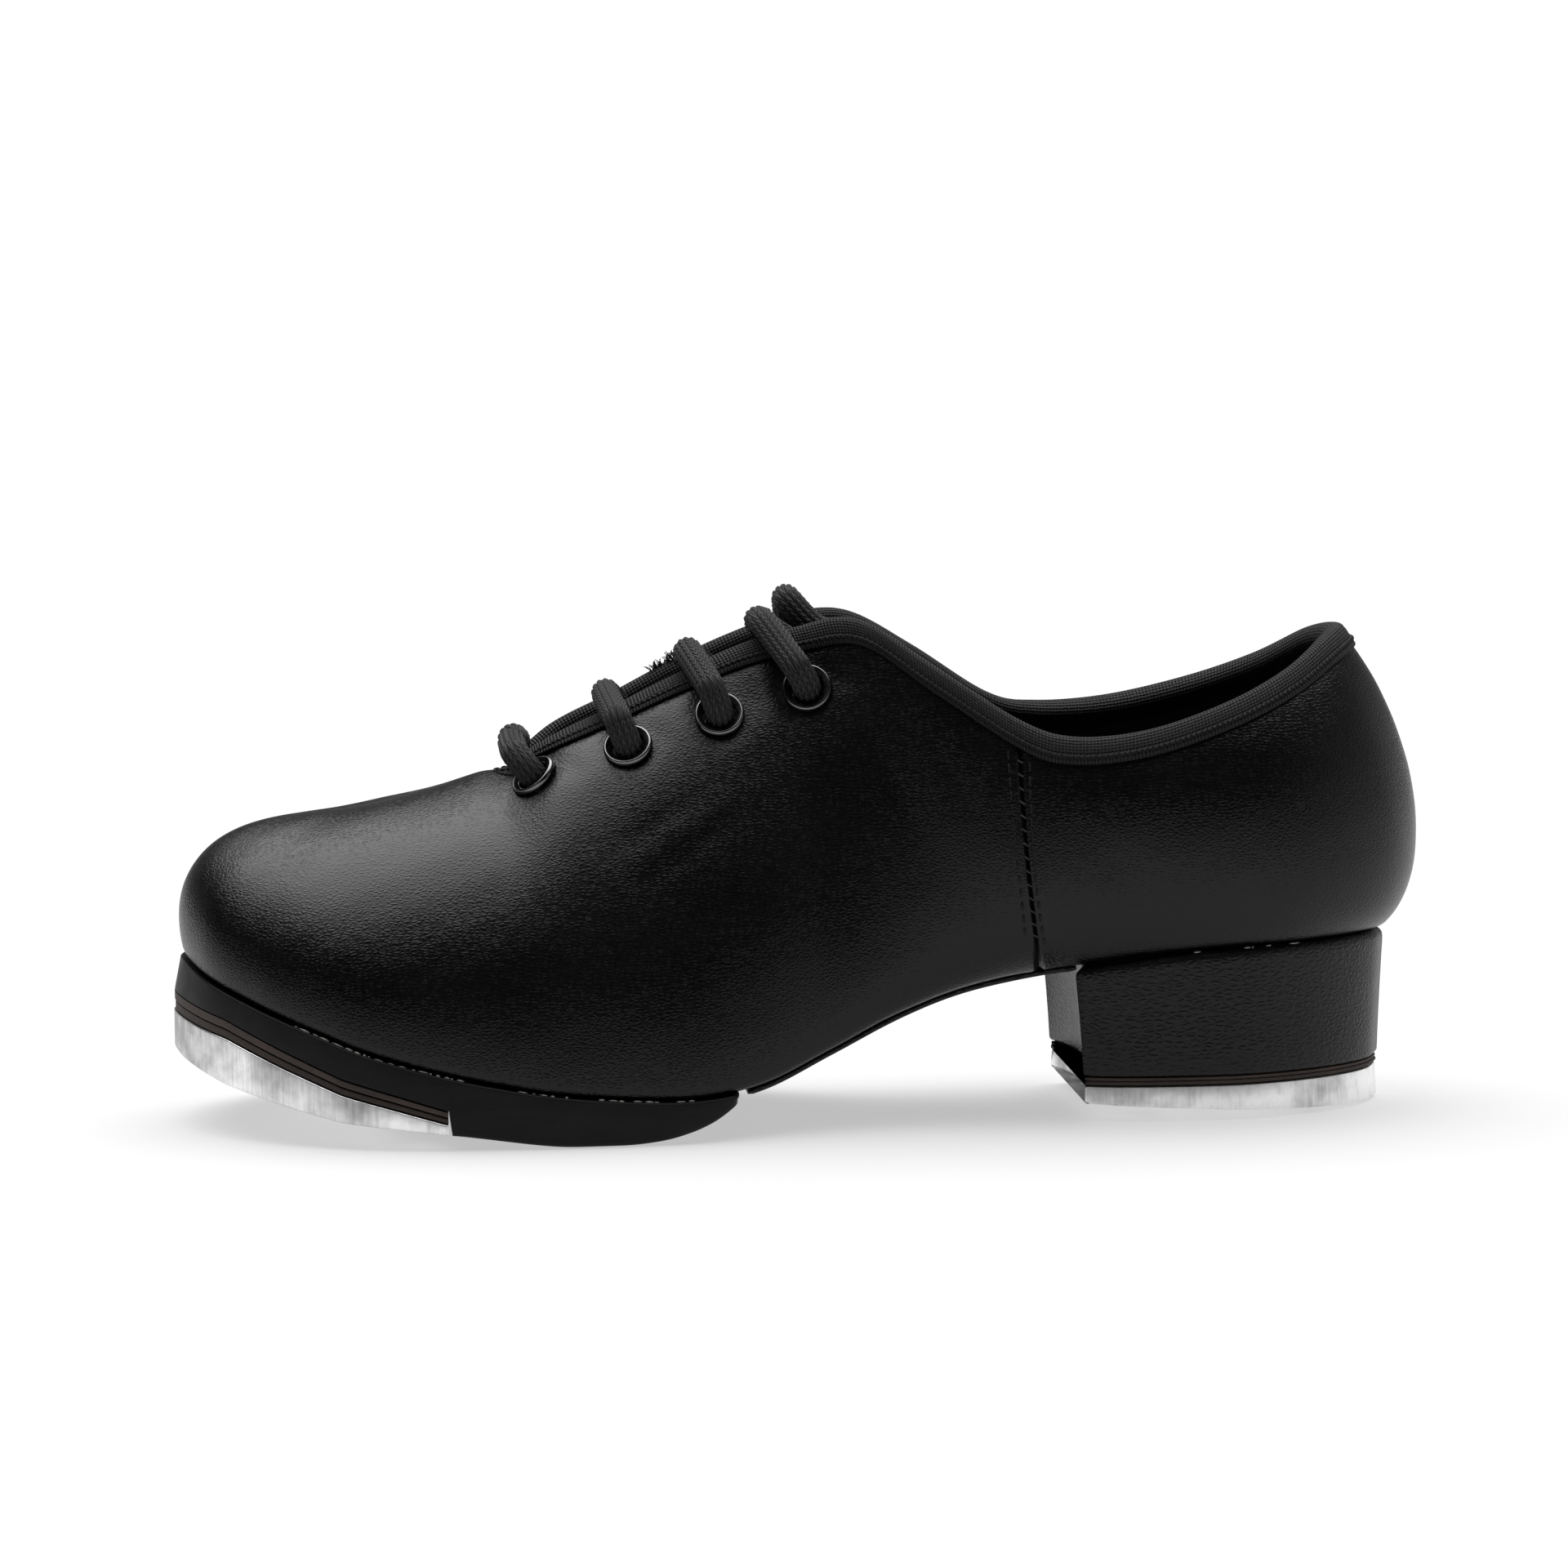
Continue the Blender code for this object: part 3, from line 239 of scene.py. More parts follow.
def bump(mat, height, distance_mm, strength=1.0, under=None):
    inputs = {"Height": height, "Distance": distance_mm * MM, "Strength": strength}
    if under is not None:
        inputs["Normal"] = under
    return add(mat, "Bump", inputs).outputs["Normal"]


def leather(name, cell_mm=0.6, depth_mm=0.07, shine=0.29, dark=0.0015):
    """Black leather: small wrinkles drawn out along the shoe, and a sheen that varies a little."""
    mat = new_material(name, grey(dark), shine, Specular_IOR_Level=0.25)
    where = place_of(mat, (0.5, 0.8, 1.0))
    warp = add(mat, "TexNoise", {"Vector": where, "Scale": 520.0, "Detail": 2.0}).outputs["Color"]
    shift = add(mat, "VectorMath", {0: warp, 1: (0.5, 0.5, 0.5)}, operation="SUBTRACT").outputs["Vector"]
    shift = add(mat, "VectorMath", {0: shift, "Scale": 0.0005}, operation="SCALE").outputs["Vector"]
    bent = add(mat, "VectorMath", {0: where, 1: shift}, operation="ADD").outputs["Vector"]
    cells = add(mat, "TexVoronoi", {"Vector": bent, "Scale": 1000 / cell_mm}, feature="DISTANCE_TO_EDGE")
    ridge = between(mat, cells.outputs["Distance"], 0.0, 0.3, 0.0, 1.0)
    fine = noise(mat, where, 2600, 2.0)
    height = total(mat, (ridge, 0.8), (fine, 0.35))
    broad = bump(mat, noise(mat, where, 150, 2.0), 0.08, 0.25)
    feed(mat, "Normal", bump(mat, height, depth_mm, 0.75, broad))
    patches = noise(mat, where, 60, 3.0)
    feed(mat, "Roughness", between(mat, patches, 0.3, 0.7, shine - 0.02, shine + 0.03))
    light, deep = dark * 1.35, dark * 0.75
    feed(mat, "Base Color", ramp(mat, patches, (0.3, grey(deep)), (0.7, (light, light, light * 1.02))))
    return mat


def woven(name, dark, pitch_mm, depth_mm, roughness=0.85):
    """Plain black cloth: threads crossing in two directions, in the object's own coordinates."""
    mat = new_material(name, grey(dark), roughness, Sheen_Weight=0.25, Sheen_Roughness=0.4)
    where = place_of(mat)
    inputs = {"Vector": where, "Scale": 1000 / pitch_mm / 6.2832 * 2, "Distortion": 0.6, "Detail": 1.0,
              "Detail Scale": 3.0}
    threads = [add(mat, "TexWave", inputs, bands_direction=axis).outputs["Fac"] for axis in ("X", "Z")]
    cross = maths(mat, "MULTIPLY", *threads)
    fuzz = noise(mat, where, 2500, 2.0)
    height = total(mat, (cross, 1.0), (fuzz, 0.6))
    feed(mat, "Normal", bump(mat, height, depth_mm, 0.8))
    patches = noise(mat, where, 90, 3.0)
    light = dark * 1.5
    feed(mat, "Base Color", ramp(mat, patches, (0.3, grey(dark)), (0.7, grey(light))))
    return mat


def grosgrain(name):
    """Ribbed tape: ribs across it, each of twisted yarn, in UV millimetres (across, along)."""
    mat = new_material(name, (0.008, 0.008, 0.008), 0.6, Specular_IOR_Level=0.25)
    where = place_of(mat, kind="UV")
    ribs = add(mat, "TexWave", {"Vector": where, "Scale": 0.314 / 0.7, "Distortion": 0.5, "Detail": 1.0,
                                "Detail Scale": 1.5}, bands_direction="Y", wave_profile="SIN")
    yarn = add(mat, "TexWave", {"Vector": where, "Scale": 0.314 / 0.62, "Distortion": 1.2, "Detail": 1.0,
                                "Detail Scale": 2.0}, bands_direction="X", wave_profile="SIN")
    fuzz = noise(mat, where, 3.0, 2.0)
    height = total(mat, (ribs.outputs["Fac"], 1.0), (yarn.outputs["Fac"], 0.45), (fuzz, 0.5))
    feed(mat, "Normal", bump(mat, height, 0.3, 1.0))
    # The colour follows the ribs: painted shade in the grooves between them and painted highlight on their
    # crests.
    low, high = 0.0015, 0.019
    feed(mat, "Base Color", ramp(mat, ribs.outputs["Fac"], (0.2, grey(low)), (0.9, grey(high))))
    return mat


def cord_material(name):
    """Braided cord with fibres on its strands; its UVs are columns round it and millimetres along it."""
    mat = new_material(name, (0.01, 0.01, 0.01), 0.65, Specular_IOR_Level=0.3)
    place = add(mat, "SeparateXYZ", {0: place_of(mat, kind="UV")}).outputs
    side = maths(mat, "ABSOLUTE", maths(mat, "SUBTRACT", maths(mat, "FRACT", place["X"]), 0.5))
    slope = maths(mat, "MULTIPLY", side, PLAIT_V)
    turn = maths(mat, "SUBTRACT", maths(mat, "DIVIDE", place["Y"], PLAIT_PITCH), slope)
    strand = maths(mat, "ABSOLUTE", maths(mat, "SINE", maths(mat, "MULTIPLY", turn, math.pi)))
    middle = between(mat, side, 0.5, 0.3, 0.05, 1.0)
    height = maths(mat, "MULTIPLY", strand, middle)
    fibres = noise(mat, place_of(mat), 3200, 3.0, 0.65)
    rough = total(mat, (height, 1.0), (fibres, 0.35))
    feed(mat, "Normal", bump(mat, rough, 0.25, 0.8))
    # The colour follows the relief: painted shade in the grooves between strands and columns, and painted
    # highlight on the strands' crests.
    feed(mat, "Base Color", ramp(mat, maths(mat, "MULTIPLY", rough, 0.75), (0.2, (0.001, 0.001, 0.001)),
                                 (0.85, (0.027, 0.0265, 0.026))))
    return mat


def thread_material(name, colour, roughness=0.6):
    mat = new_material(name, colour, roughness, Specular_IOR_Level=0.25)
    twist = noise(mat, place_of(mat, (3, 3, 1)), 900, 2.0)
    feed(mat, "Normal", bump(mat, twist, 0.06, 0.8))
    low = tuple(0.6 * c for c in colour)
    feed(mat, "Base Color", ramp(mat, twist, (0.35, low), (0.65, colour)))
    return mat


def ground_metal(name, worn=0.0, streak=(1.0, 1.0, 0.05), light=0.9, dark=0.4, roughness=0.3):
    """Aluminium with grinding marks up its edges, dull smudges and fine scratches."""
    mat = new_material(name, grey(light), roughness, 1.0)
    where = place_of(mat)
    marks = noise(mat, place_of(mat, streak), 1500, 3.0, 0.6)
    smudge = noise(mat, where, 75, 4.0, 0.6)
    tone = total(mat, (marks, 0.3), (smudge, 1.0))
    ahead = add(mat, "SeparateXYZ", {0: where}).outputs["X"]
    tone = maths(mat, "SUBTRACT", tone, between(mat, ahead, -0.126, -0.085, worn, 0.0))
    feed(mat, "Base Color", ramp(mat, tone, (0.4, grey(dark)), (0.72, grey(light))))
    feed(mat, "Roughness", between(mat, smudge, 0.35, 0.65, roughness + 0.18, roughness - 0.05))
    feed(mat, "Normal", bump(mat, marks, 0.05, 0.7, bump(mat, noise(mat, where, 260, 2.0), 0.08, 0.4)))
    return mat


def plain_metal(name, colour, roughness):
    """A smooth metal with faint scratches and cloudy polish."""
    mat = new_material(name, colour, roughness, 1.0)
    where = place_of(mat)
    cloud = noise(mat, where, 300, 3.0)
    feed(mat, "Roughness", between(mat, cloud, 0.3, 0.7, roughness - 0.05, roughness + 0.1))
    worn = tuple(min(1.0, c * 1.35) for c in colour)
    feed(mat, "Base Color", ramp(mat, cloud, (0.35, colour), (0.75, worn)))
    feed(mat, "Normal", bump(mat, cloud, 0.02, 0.2))
    return mat


def fibre_board(name, light, dark, grain=(0.06, 1.0, 1.0)):
    """Pressed leather or paper board: fine fibres along it, and layers that show on a cut edge."""
    mat = new_material(name, light, 0.72)
    where = place_of(mat)
    fibres = noise(mat, place_of(mat, grain), 2400, 4.0, 0.65)
    blotch = noise(mat, where, 130, 3.0)
    tone = total(mat, (fibres, 0.6), (blotch, 0.5))
    feed(mat, "Base Color", ramp(mat, tone, (0.4, dark), (0.7, light)))
    feed(mat, "Normal", bump(mat, fibres, 0.12, 0.8))
    return mat


def sole_material(name):
    """Dyed and polished black sole edge: smooth, with faint marks along it."""
    mat = new_material(name, (0.005, 0.005, 0.005), 0.5, Specular_IOR_Level=0.15)
    where = place_of(mat)
    marks = noise(mat, place_of(mat, (0.15, 0.4, 1.0)), 500, 3.0, 0.6)
    feed(mat, "Roughness", between(mat, noise(mat, where, 90, 3.0), 0.3, 0.7, 0.42, 0.58))
    feed(mat, "Normal", bump(mat, marks, 0.06, 0.5, bump(mat, noise(mat, where, 900, 2.0), 0.04, 0.5)))
    feed(mat, "Base Color", ramp(mat, marks, (0.35, grey(0.004)), (0.7, grey(0.007))))
    return mat


def wood_material(name):
    mat = new_material(name, (0.5, 0.36, 0.22), 0.6)
    rings = add(mat, "TexWave", {"Vector": place_of(mat), "Scale": 90.0, "Distortion": 6.0, "Detail": 3.0,
                                 "Detail Scale": 1.2}, bands_direction="Y").outputs["Fac"]
    feed(mat, "Base Color", ramp(mat, rings, (0.2, (0.36, 0.24, 0.13)), (0.8, (0.58, 0.43, 0.27))))
    feed(mat, "Normal", bump(mat, rings, 0.1, 0.4))
    return mat


def speckled(name, light, dark, scale, roughness, depth_mm=0.15):
    """Granular matter such as cork or glue: grains of two tones."""
    mat = new_material(name, light, roughness)
    where = place_of(mat)
    grains = add(mat, "TexVoronoi", {"Vector": where, "Scale": scale}).outputs["Distance"]
    feed(mat, "Base Color", ramp(mat, grains, (0.15, light), (0.65, dark)))
    feed(mat, "Normal", bump(mat, grains, depth_mm, 0.7))
    return mat


def gloss_plastic(name, colour):
    mat = new_material(name, colour, 0.25)
    cloud = noise(mat, place_of(mat), 400, 2.0)
    feed(mat, "Roughness", between(mat, cloud, 0.3, 0.7, 0.2, 0.35))
    feed(mat, "Normal", bump(mat, cloud, 0.05, 0.3))
    high = tuple(1.6 * c for c in colour)
    feed(mat, "Base Color", ramp(mat, cloud, (0.3, colour), (0.7, high)))
    return mat


LEATHER = leather("grained_black_leather")
HEEL_LEATHER = leather("heel_leather", 0.95, 0.12, 0.36, 0.003)
TONGUE_LEATHER = leather("tongue_leather", 0.8, 0.1, 0.45, 0.003)
LINING = woven("black_lining", 0.013, 0.9, 0.12)
SOCK_CLOTH = woven("black_sock", 0.016, 0.7, 0.1, 0.8)
TAPE = grosgrain("black_grosgrain")
CORD = cord_material("braided_cord")
THREAD = thread_material("black_thread", (0.004, 0.004, 0.004))
TAPE_THREAD = thread_material("tape_thread", (0.004, 0.004, 0.004), 0.7)
# Pale thread: its paleness is a painted highlight on the threads that cross the side seam.
PALE_THREAD = thread_material("pale_thread_painted_highlight", (0.05, 0.049, 0.047))
GLUE = speckled("dried_glue", (0.22, 0.21, 0.19), (0.1, 0.09, 0.08), 2500, 0.4, 0.05)
GUNMETAL = plain_metal("gunmetal", (0.12, 0.12, 0.124), 0.2)
ALUMINIUM = ground_metal("ground_aluminium")
WORN_ALUMINIUM = ground_metal("worn_aluminium", 0.2)
STEEL = plain_metal("steel", (0.5, 0.5, 0.51), 0.32)
BOARD = fibre_board("brown_leatherboard", (0.034, 0.021, 0.016), (0.012, 0.0075, 0.006))
PALE_BOARD = fibre_board("pale_leatherboard", (0.05, 0.031, 0.025), (0.022, 0.014, 0.011))
STIFFENER = fibre_board("fibre_stiffener", (0.55, 0.5, 0.42), (0.4, 0.35, 0.28), (1, 1, 1))
SOLE = sole_material("black_sole")
WOOD = wood_material("heel_wood")
CORK = speckled("cork", (0.45, 0.3, 0.17), (0.25, 0.15, 0.08), 700, 0.9)
PLASTIC = gloss_plastic("black_plastic", (0.015, 0.015, 0.015))


# ---------------------------------------------------------------- meshes

def placed(name, data):
    obj = bpy.data.objects.new(name, data)
    bpy.context.scene.collection.objects.link(obj)
    return obj


def mesh_object(name, points, faces, mat, angle=50, corners=None):
    """A mesh from points in millimetres, its faces turned outwards; corners are UVs, one per face corner."""
    mesh = bpy.data.meshes.new(name)
    mesh.from_pydata((np.asarray(points, float) * MM).tolist(), [], faces)
    if corners is not None:
        layer = mesh.uv_layers.new(name="UVMap")
        layer.data.foreach_set("uv", np.asarray(corners, np.float32).ravel())
    work = bmesh.new()
    work.from_mesh(mesh)
    bmesh.ops.remove_doubles(work, verts=work.verts, dist=1e-7)
    bmesh.ops.dissolve_degenerate(work, edges=work.edges, dist=1e-8)
    bmesh.ops.recalc_face_normals(work, faces=work.faces)
    work.to_mesh(mesh)
    work.free()
    mesh.shade_smooth()
    mesh.set_sharp_from_angle(angle=math.radians(angle))
    mesh.materials.append(mat)
    return placed(name, mesh)


def loft(name, parts, mat, along=None, across=None, closed=False, angle=50):
    """A skin over closed loops of points, with flat ends, or bent back on itself when closed.

    parts is a list, so that one object can hold several skins; along and across give the UVs of one.
    """
    points, faces, corners = [], [], None
    for rings in parts:
        rings = np.asarray(rings, float)
        base = sum(len(p) for p in points)
        count, size = rings.shape[:2]
        i, j = np.meshgrid(np.arange(count if closed else count - 1), np.arange(size), indexing="ij")
        i2, j2 = (i + 1) % count, (j + 1) % size
        quads = np.stack([i * size + j, i * size + j2, i2 * size + j2, i2 * size + j], axis=-1)
        faces += (quads.reshape(-1, 4) + base).tolist()
        if not closed:
            last = base + (count - 1) * size
            faces += [list(range(base, base + size))[::-1], list(range(last, last + size))]
        points.append(rings.reshape(-1, 3))
    if along is not None:
        u0, u1, v0, v1 = across[j], across[j + 1], along[i], along[np.minimum(i + 1, count - 1)]
        corners = np.stack([u0, v0, u1, v0, u1, v1, u0, v1], axis=-1).reshape(-1, 2)
        if not closed:
            corners = np.concatenate([corners, np.zeros((2 * size, 2))])
    return mesh_object(name, np.concatenate(points), faces, mat, angle, corners)


def frame_of(axis):
    axis = Vector(axis).normalized()
    side = axis.orthogonal().normalized()
    return np.array(axis), np.array(side), np.array(axis.cross(side))


def turned(name, profile, origin, axis, mat, sides=48, closed=False, angle=50):
    """A solid turned about an axis; the profile is radius and height."""
    axis, side, other = frame_of(axis)
    angles = np.linspace(0, 2 * math.pi, sides, endpoint=False)
    round_ = np.cos(angles)[:, None] * side + np.sin(angles)[:, None] * other
    rings = [np.asarray(origin) + axis * height + round_ * radius for radius, height in profile]
    return loft(name, [rings], mat, closed=closed, angle=angle)


def smooth_line(points, places):
    """The smooth curve through the points, at fractional indices."""
    points = np.asarray(points, float)
    last = len(points) - 1
    i = np.clip(np.floor(places).astype(int), 0, last - 1)
    f = (places - i)[:, None]
    a, b, c, d = (points[np.clip(i + k, 0, last)] for k in (-1, 0, 1, 2))
    return 0.5 * (2 * b + (c - a) * f + (2 * a - 5 * b + 4 * c - d) * f**2 + (3 * b - a - 3 * c + d) * f**3)


def run_of(line):
    """The distance along a line at each of its points."""
    return np.concatenate([[0], np.cumsum(np.linalg.norm(np.diff(line, axis=0), axis=1))])


def points_at(at, run, line):
    """What a line of points or normals has at given distances along it."""
    return np.stack([np.interp(at, run, line[:, k]) for k in range(3)], axis=-1)


def even_line(points, spacing):
    """Points an even distance apart on the smooth curve through the given points."""
    dense = smooth_line(points, np.linspace(0, len(points) - 1, 60 * len(points)))
    run = run_of(dense)
    at = np.linspace(0, run[-1], max(3, int(round(run[-1] / spacing)) + 1))
    return points_at(at, run, dense), at


def tube_rings(line, radii, sides=8):
    """Round loops along a line, without twist; radii is one number per point, or one row per point."""
    tangents = np.gradient(line, axis=0)
    tangents /= np.linalg.norm(tangents, axis=1, keepdims=True)
    side = frame_of(tangents[0])[1]
    angles = np.linspace(0, 2 * math.pi, sides, endpoint=False)
    rings = []
    for point, tangent, radius in zip(line, tangents, radii):
        side = side - tangent * np.dot(side, tangent)
        side /= np.linalg.norm(side)
        other = np.cross(tangent, side)
        spokes = np.cos(angles)[:, None] * side + np.sin(angles)[:, None] * other
        rings.append(point + spokes * np.reshape(radius, (-1, 1)))
    return np.array(rings)


def settle(obj, *tools, angle=35):
    """Applies the object's modifiers and removes the helpers that they used."""
    bpy.context.view_layer.update()
    graph = bpy.context.evaluated_depsgraph_get()
    mesh = bpy.data.meshes.new_from_object(obj.evaluated_get(graph))
    obj.modifiers.clear()
    obj.data = mesh
    mesh.shade_smooth()
    mesh.set_sharp_from_angle(angle=math.radians(angle))
    for tool in tools:
        bpy.data.objects.remove(tool, do_unlink=True)
    return obj


def cut(obj, tool):
    made = obj.modifiers.new("cut", "BOOLEAN")
    made.operation = "DIFFERENCE"
    made.object = tool


def soften(obj, width, segments=3, angle=35):
    made = obj.modifiers.new("soften", "BEVEL")
    made.width = width * MM
    made.segments = segments
    made.limit_method = "ANGLE"
    made.angle_limit = math.radians(angle)


def shown(obj, body, slot, *nodes, bends=False):
    """Parents a finished piece to the empty of the body it rides on, or bakes its place into its mesh when it
    bends, and hides the CAD nodes it stands for; slot, its finish, is not used.
    """
    if bends:
        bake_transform(obj)
    else:
        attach(obj, body)
    if nodes:
        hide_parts(*nodes)
    return obj


# ---------------------------------------------------------------- the upper's surface

def ring_table():
    """One line per row all the way round: seam point, top point and bulges."""
    table = []
    for k in range(2 * LAST_ROW):
        medial = k > LAST_ROW
        row = ROWS[2 * LAST_ROW - k if medial else k]
        x, z, y_lat, y_med, tx, ty_lat, ty_med, tz_lat, tz_med, *bulge = row
        seam = (x, y_med if medial else y_lat, z)
        top = (tx, ty_med, tz_med) if medial else (tx, ty_lat, tz_lat)
        table.append((*seam, *top, *bulge))
    return np.array(table)


def lateral_places():
    """Row positions of one side's stations, closer together at the side seam."""
    base = np.linspace(0, LAST_ROW, LAST_ROW * STATIONS_PER_ROW + 1)
    fine = SIDE_SEAM_ROW + np.linspace(-0.27, 0.27, 31)
    return np.sort(np.concatenate([base[np.abs(base - SIDE_SEAM_ROW) > 0.3], fine]))


LATERAL = lateral_places()
HALF = len(LATERAL) - 1
RING = 2 * HALF
PLACES = np.concatenate([LATERAL, 2 * LAST_ROW - LATERAL[-2:0:-1]])


def index_of(place):
    """The fractional station at a row position; positions past the last row are on the medial side."""
    return float(np.interp(place, PLACES, np.arange(RING)))


def ring_values():
    table = ring_table()
    i = np.floor(PLACES).astype(int)
    f = (PLACES - i)[:, None]
    a, b, c, d = (table[(i + k) % len(table)] for k in (-1, 0, 1, 2))
    return 0.5 * (2 * b + (c - a) * f + (2 * a - 5 * b + 4 * c - d) * f**2 + (3 * b - a - 3 * c + d) * f**3)


VALUES = ring_values()
SEAMS, TOPS, BULGES = VALUES[:, :3], VALUES[:, 3:6], VALUES[:, 6:]
RIDGE = [s for s in range(1, HALF) if PLACES[s] <= THROAT_ROW]
for station in RIDGE:
    middle = (TOPS[station] + TOPS[RING - station]) / 2
    TOPS[station] = TOPS[RING - station] = middle


def plan_normals(loop):
    along = np.roll(loop, -1, axis=0) - np.roll(loop, 1, axis=0)
    out = np.stack([along[:, 1], -along[:, 0], np.zeros(len(loop))], axis=1)
    return out / np.linalg.norm(out, axis=1, keepdims=True)


OUT = plan_normals(SEAMS)


def seam_z(x):
    return np.interp(x, SEAMS[: HALF + 1, 0], SEAMS[: HALF + 1, 2])


def upper_surface():
    """The outer surface before any creases, by station and step."""
    a, d = SEAMS, TOPS
    b = a + OUT * BULGES[:, :1] + UP * BULGES[:, 1:2]
    c = d + OUT * BULGES[:, 2:3] - UP * BULGES[:, 3:]
    columns = []
    for inset in MARGIN_INSETS:
        point = a - OUT * inset
        point[:, 2] = seam_z(point[:, 0])
        columns.append(point)
    first = SEAM_ROUNDING / (3 * np.linalg.norm(b - a, axis=1))[:, None]

    def wall(t):
        s = 1 - t
        return s**3 * a + 3 * s * s * t * b + 3 * s * t * t * c + t**3 * d

    low, high = a - OUT * SEAM_ROUNDING, wall(first)
    for u in np.linspace(0, 1, 6)[:-1]:
        columns.append((1 - u) ** 2 * low + 2 * u * (1 - u) * a + u * u * high)
    for u in np.linspace(0, 1, WALL_STEPS):
        columns.append(wall(first + (1 - first) * u))
    return np.stack(columns, axis=1)


SMOOTH = upper_surface()
STEPS = SMOOTH.shape[1]
SEAM_STEP = len(MARGIN_INSETS)
TOP_STEP = STEPS - 1
COUNTER_TOP = SEAM_STEP + 5 + int(0.6 * WALL_STEPS)


def surface_normals(grid):
    """Unit normals; the two sides share those along the ridge."""
    along = np.roll(grid, -1, axis=0) - np.roll(grid, 1, axis=0)
    normals = np.cross(along, np.gradient(grid, axis=1))
    normals[0, TOP_STEP] = normals[0, TOP_STEP - 1]
    normals /= np.linalg.norm(normals, axis=2, keepdims=True) + 1e-12
    for station in RIDGE:
        both = normals[station, TOP_STEP] + normals[RING - station, TOP_STEP]
        normals[station, TOP_STEP] = normals[RING - station, TOP_STEP] = both / np.linalg.norm(both)
    return normals


NORMALS = surface_normals(SMOOTH)


def down_the_side(station, below, depth=0.0):
    """Points this far below the top edge, measured down the surface, and this deep under it.

    A negative distance goes on above the edge, in the direction that the surface has there.
    """
    below, depth = np.broadcast_arrays(np.atleast_1d(np.asarray(below, float)), depth)
    i, f = int(math.floor(station)), station - math.floor(station)
    line = ((1 - f) * SMOOTH[i % RING] + f * SMOOTH[(i + 1) % RING])[::-1]
    normals = ((1 - f) * NORMALS[i % RING] + f * NORMALS[(i + 1) % RING])[::-1]
    run = run_of(line)
    point = points_at(below, run, line)
    normal = points_at(below, run, normals)
    normal /= np.linalg.norm(normal, axis=1, keepdims=True)
    rise = (line[0] - line[2]) / np.linalg.norm(line[0] - line[2])
    point = point + rise * np.maximum(-below, 0)[:, None] - normal * depth[:, None]
    return point, normal


def on_surface(station, below, depth):
    point, normal = down_the_side(station, below, depth)
    return point[0], normal[0]


def station_at_x(x, below, medial):
    stations = np.linspace(index_of(THROAT_ROW), index_of(SIDE_SEAM_ROW + 1), 300)
    stations = RING - stations if medial else stations
    reached = [on_surface(s, below, 0)[0][0] for s in stations]
    return float(stations[int(np.argmin(np.abs(np.array(reached) - x)))])


ROW_AT = np.minimum(PLACES, 2 * LAST_ROW - PLACES)


def eyelet_places():
    """(side, number) of each eyelet, with its centre, normal, station and distance below the edge."""
    places = {}
    for side in ("lateral", "medial"):
        for number, (x, below) in enumerate(EYELETS, 1):
            station = station_at_x(x, below, side == "medial")
            places[side, number] = (*on_surface(station, below, 0), station, below)
    return places


EYELET_PLACES = eyelet_places()

# Creases of the worn leather on each side: from x and distance below the edge, to the same; width; depth
CREASES = (
    (-12.0, 7.5, -8.5, 16.0, 1.7, 0.55), (-7.5, 8.0, -5.0, 15.0, 1.4, 0.3),
    (4.5, 9.0, 10.0, 14.5, 1.7, 0.5), (8.0, 7.0, 13.0, 11.5, 1.4, 0.35),
    (-30.0, 9.5, -27.0, 17.0, 1.6, 0.3), (-47.5, 9.0, -45.0, 17.0, 1.6, 0.25),
    (-40.0, 36.0, -22.0, 30.0, 2.6, 0.28), (-34.0, 45.0, -14.0, 36.0, 2.4, 0.25),
    (12.0, 24.0, 20.0, 40.0, 3.0, 0.3), (24.0, 12.0, 30.0, 26.0, 3.0, 0.25),
    (60.0, 22.0, 70.0, 38.0, 3.5, 0.25), (74.0, 10.0, 92.0, 16.0, 3.0, 0.2),
)


def relief():
    """How far the leather stands proud of the smooth surface, everywhere on it."""
    x, y, z = np.moveaxis(SMOOTH, 2, 0)
    swell = np.sin(x / 6.3 + z / 4.7 + 1.3) * np.sin(y / 5.2 - z / 7.9)
    swell += 0.6 * np.sin(x / 3.1 - z / 4.1) * np.sin(y / 3.7 + z / 2.9 + 0.6)
    height = 0.05 * swell
    away = (ROW_AT - SIDE_SEAM_ROW) * 13.4
    seam = 0.2 * np.exp(-((away / 3.4) ** 2)) - 0.75 * np.exp(-((away / 0.6) ** 2))
    height += seam[:, None]
    for centre, *_ in EYELET_PLACES.values():
        reach = np.linalg.norm(SMOOTH - centre, axis=2)
        height -= 0.28 * np.exp(-(((reach - 5.2) / 1.6) ** 2))
    runs = np.linalg.norm(np.diff(SMOOTH[:, ::-1], axis=1), axis=2)
    below = np.concatenate([np.zeros((RING, 1)), np.cumsum(runs, axis=1)], axis=1)[:, ::-1]
    for x0, below0, x1, below1, width, depth in CREASES:
        run_x, run_b = x1 - x0, below1 - below0
        share = np.clip(((x - x0) * run_x + (below - below0) * run_b) / (run_x**2 + run_b**2), 0, 1)
        reach = np.hypot(x - x0 - share * run_x, below - below0 - share * run_b)
        height -= depth * np.sin(np.pi * (0.12 + 0.76 * share)) * np.exp(-((reach / width) ** 2))
    height[:, :SEAM_STEP] = 0
    return height


LEATHER_FACE = SMOOTH + NORMALS * relief()[:, :, None]


def lining_start():
    first, last = PUFF_LAST_ROW, COUNTER_FIRST_ROW
    return np.interp(ROW_AT, (first + 0.5, first + 1.5, last - 1, last),
                     (LINING_START_STIFFENED, LINING_START, LINING_START, LINING_START_STIFFENED))


LINING_DEPTH = lining_start()
LINING_BACK = LINING_DEPTH + LINING_THICKNESS


def sunk(depth):
    return SMOOTH - NORMALS * np.broadcast_to(depth, (RING,))[:, None, None]


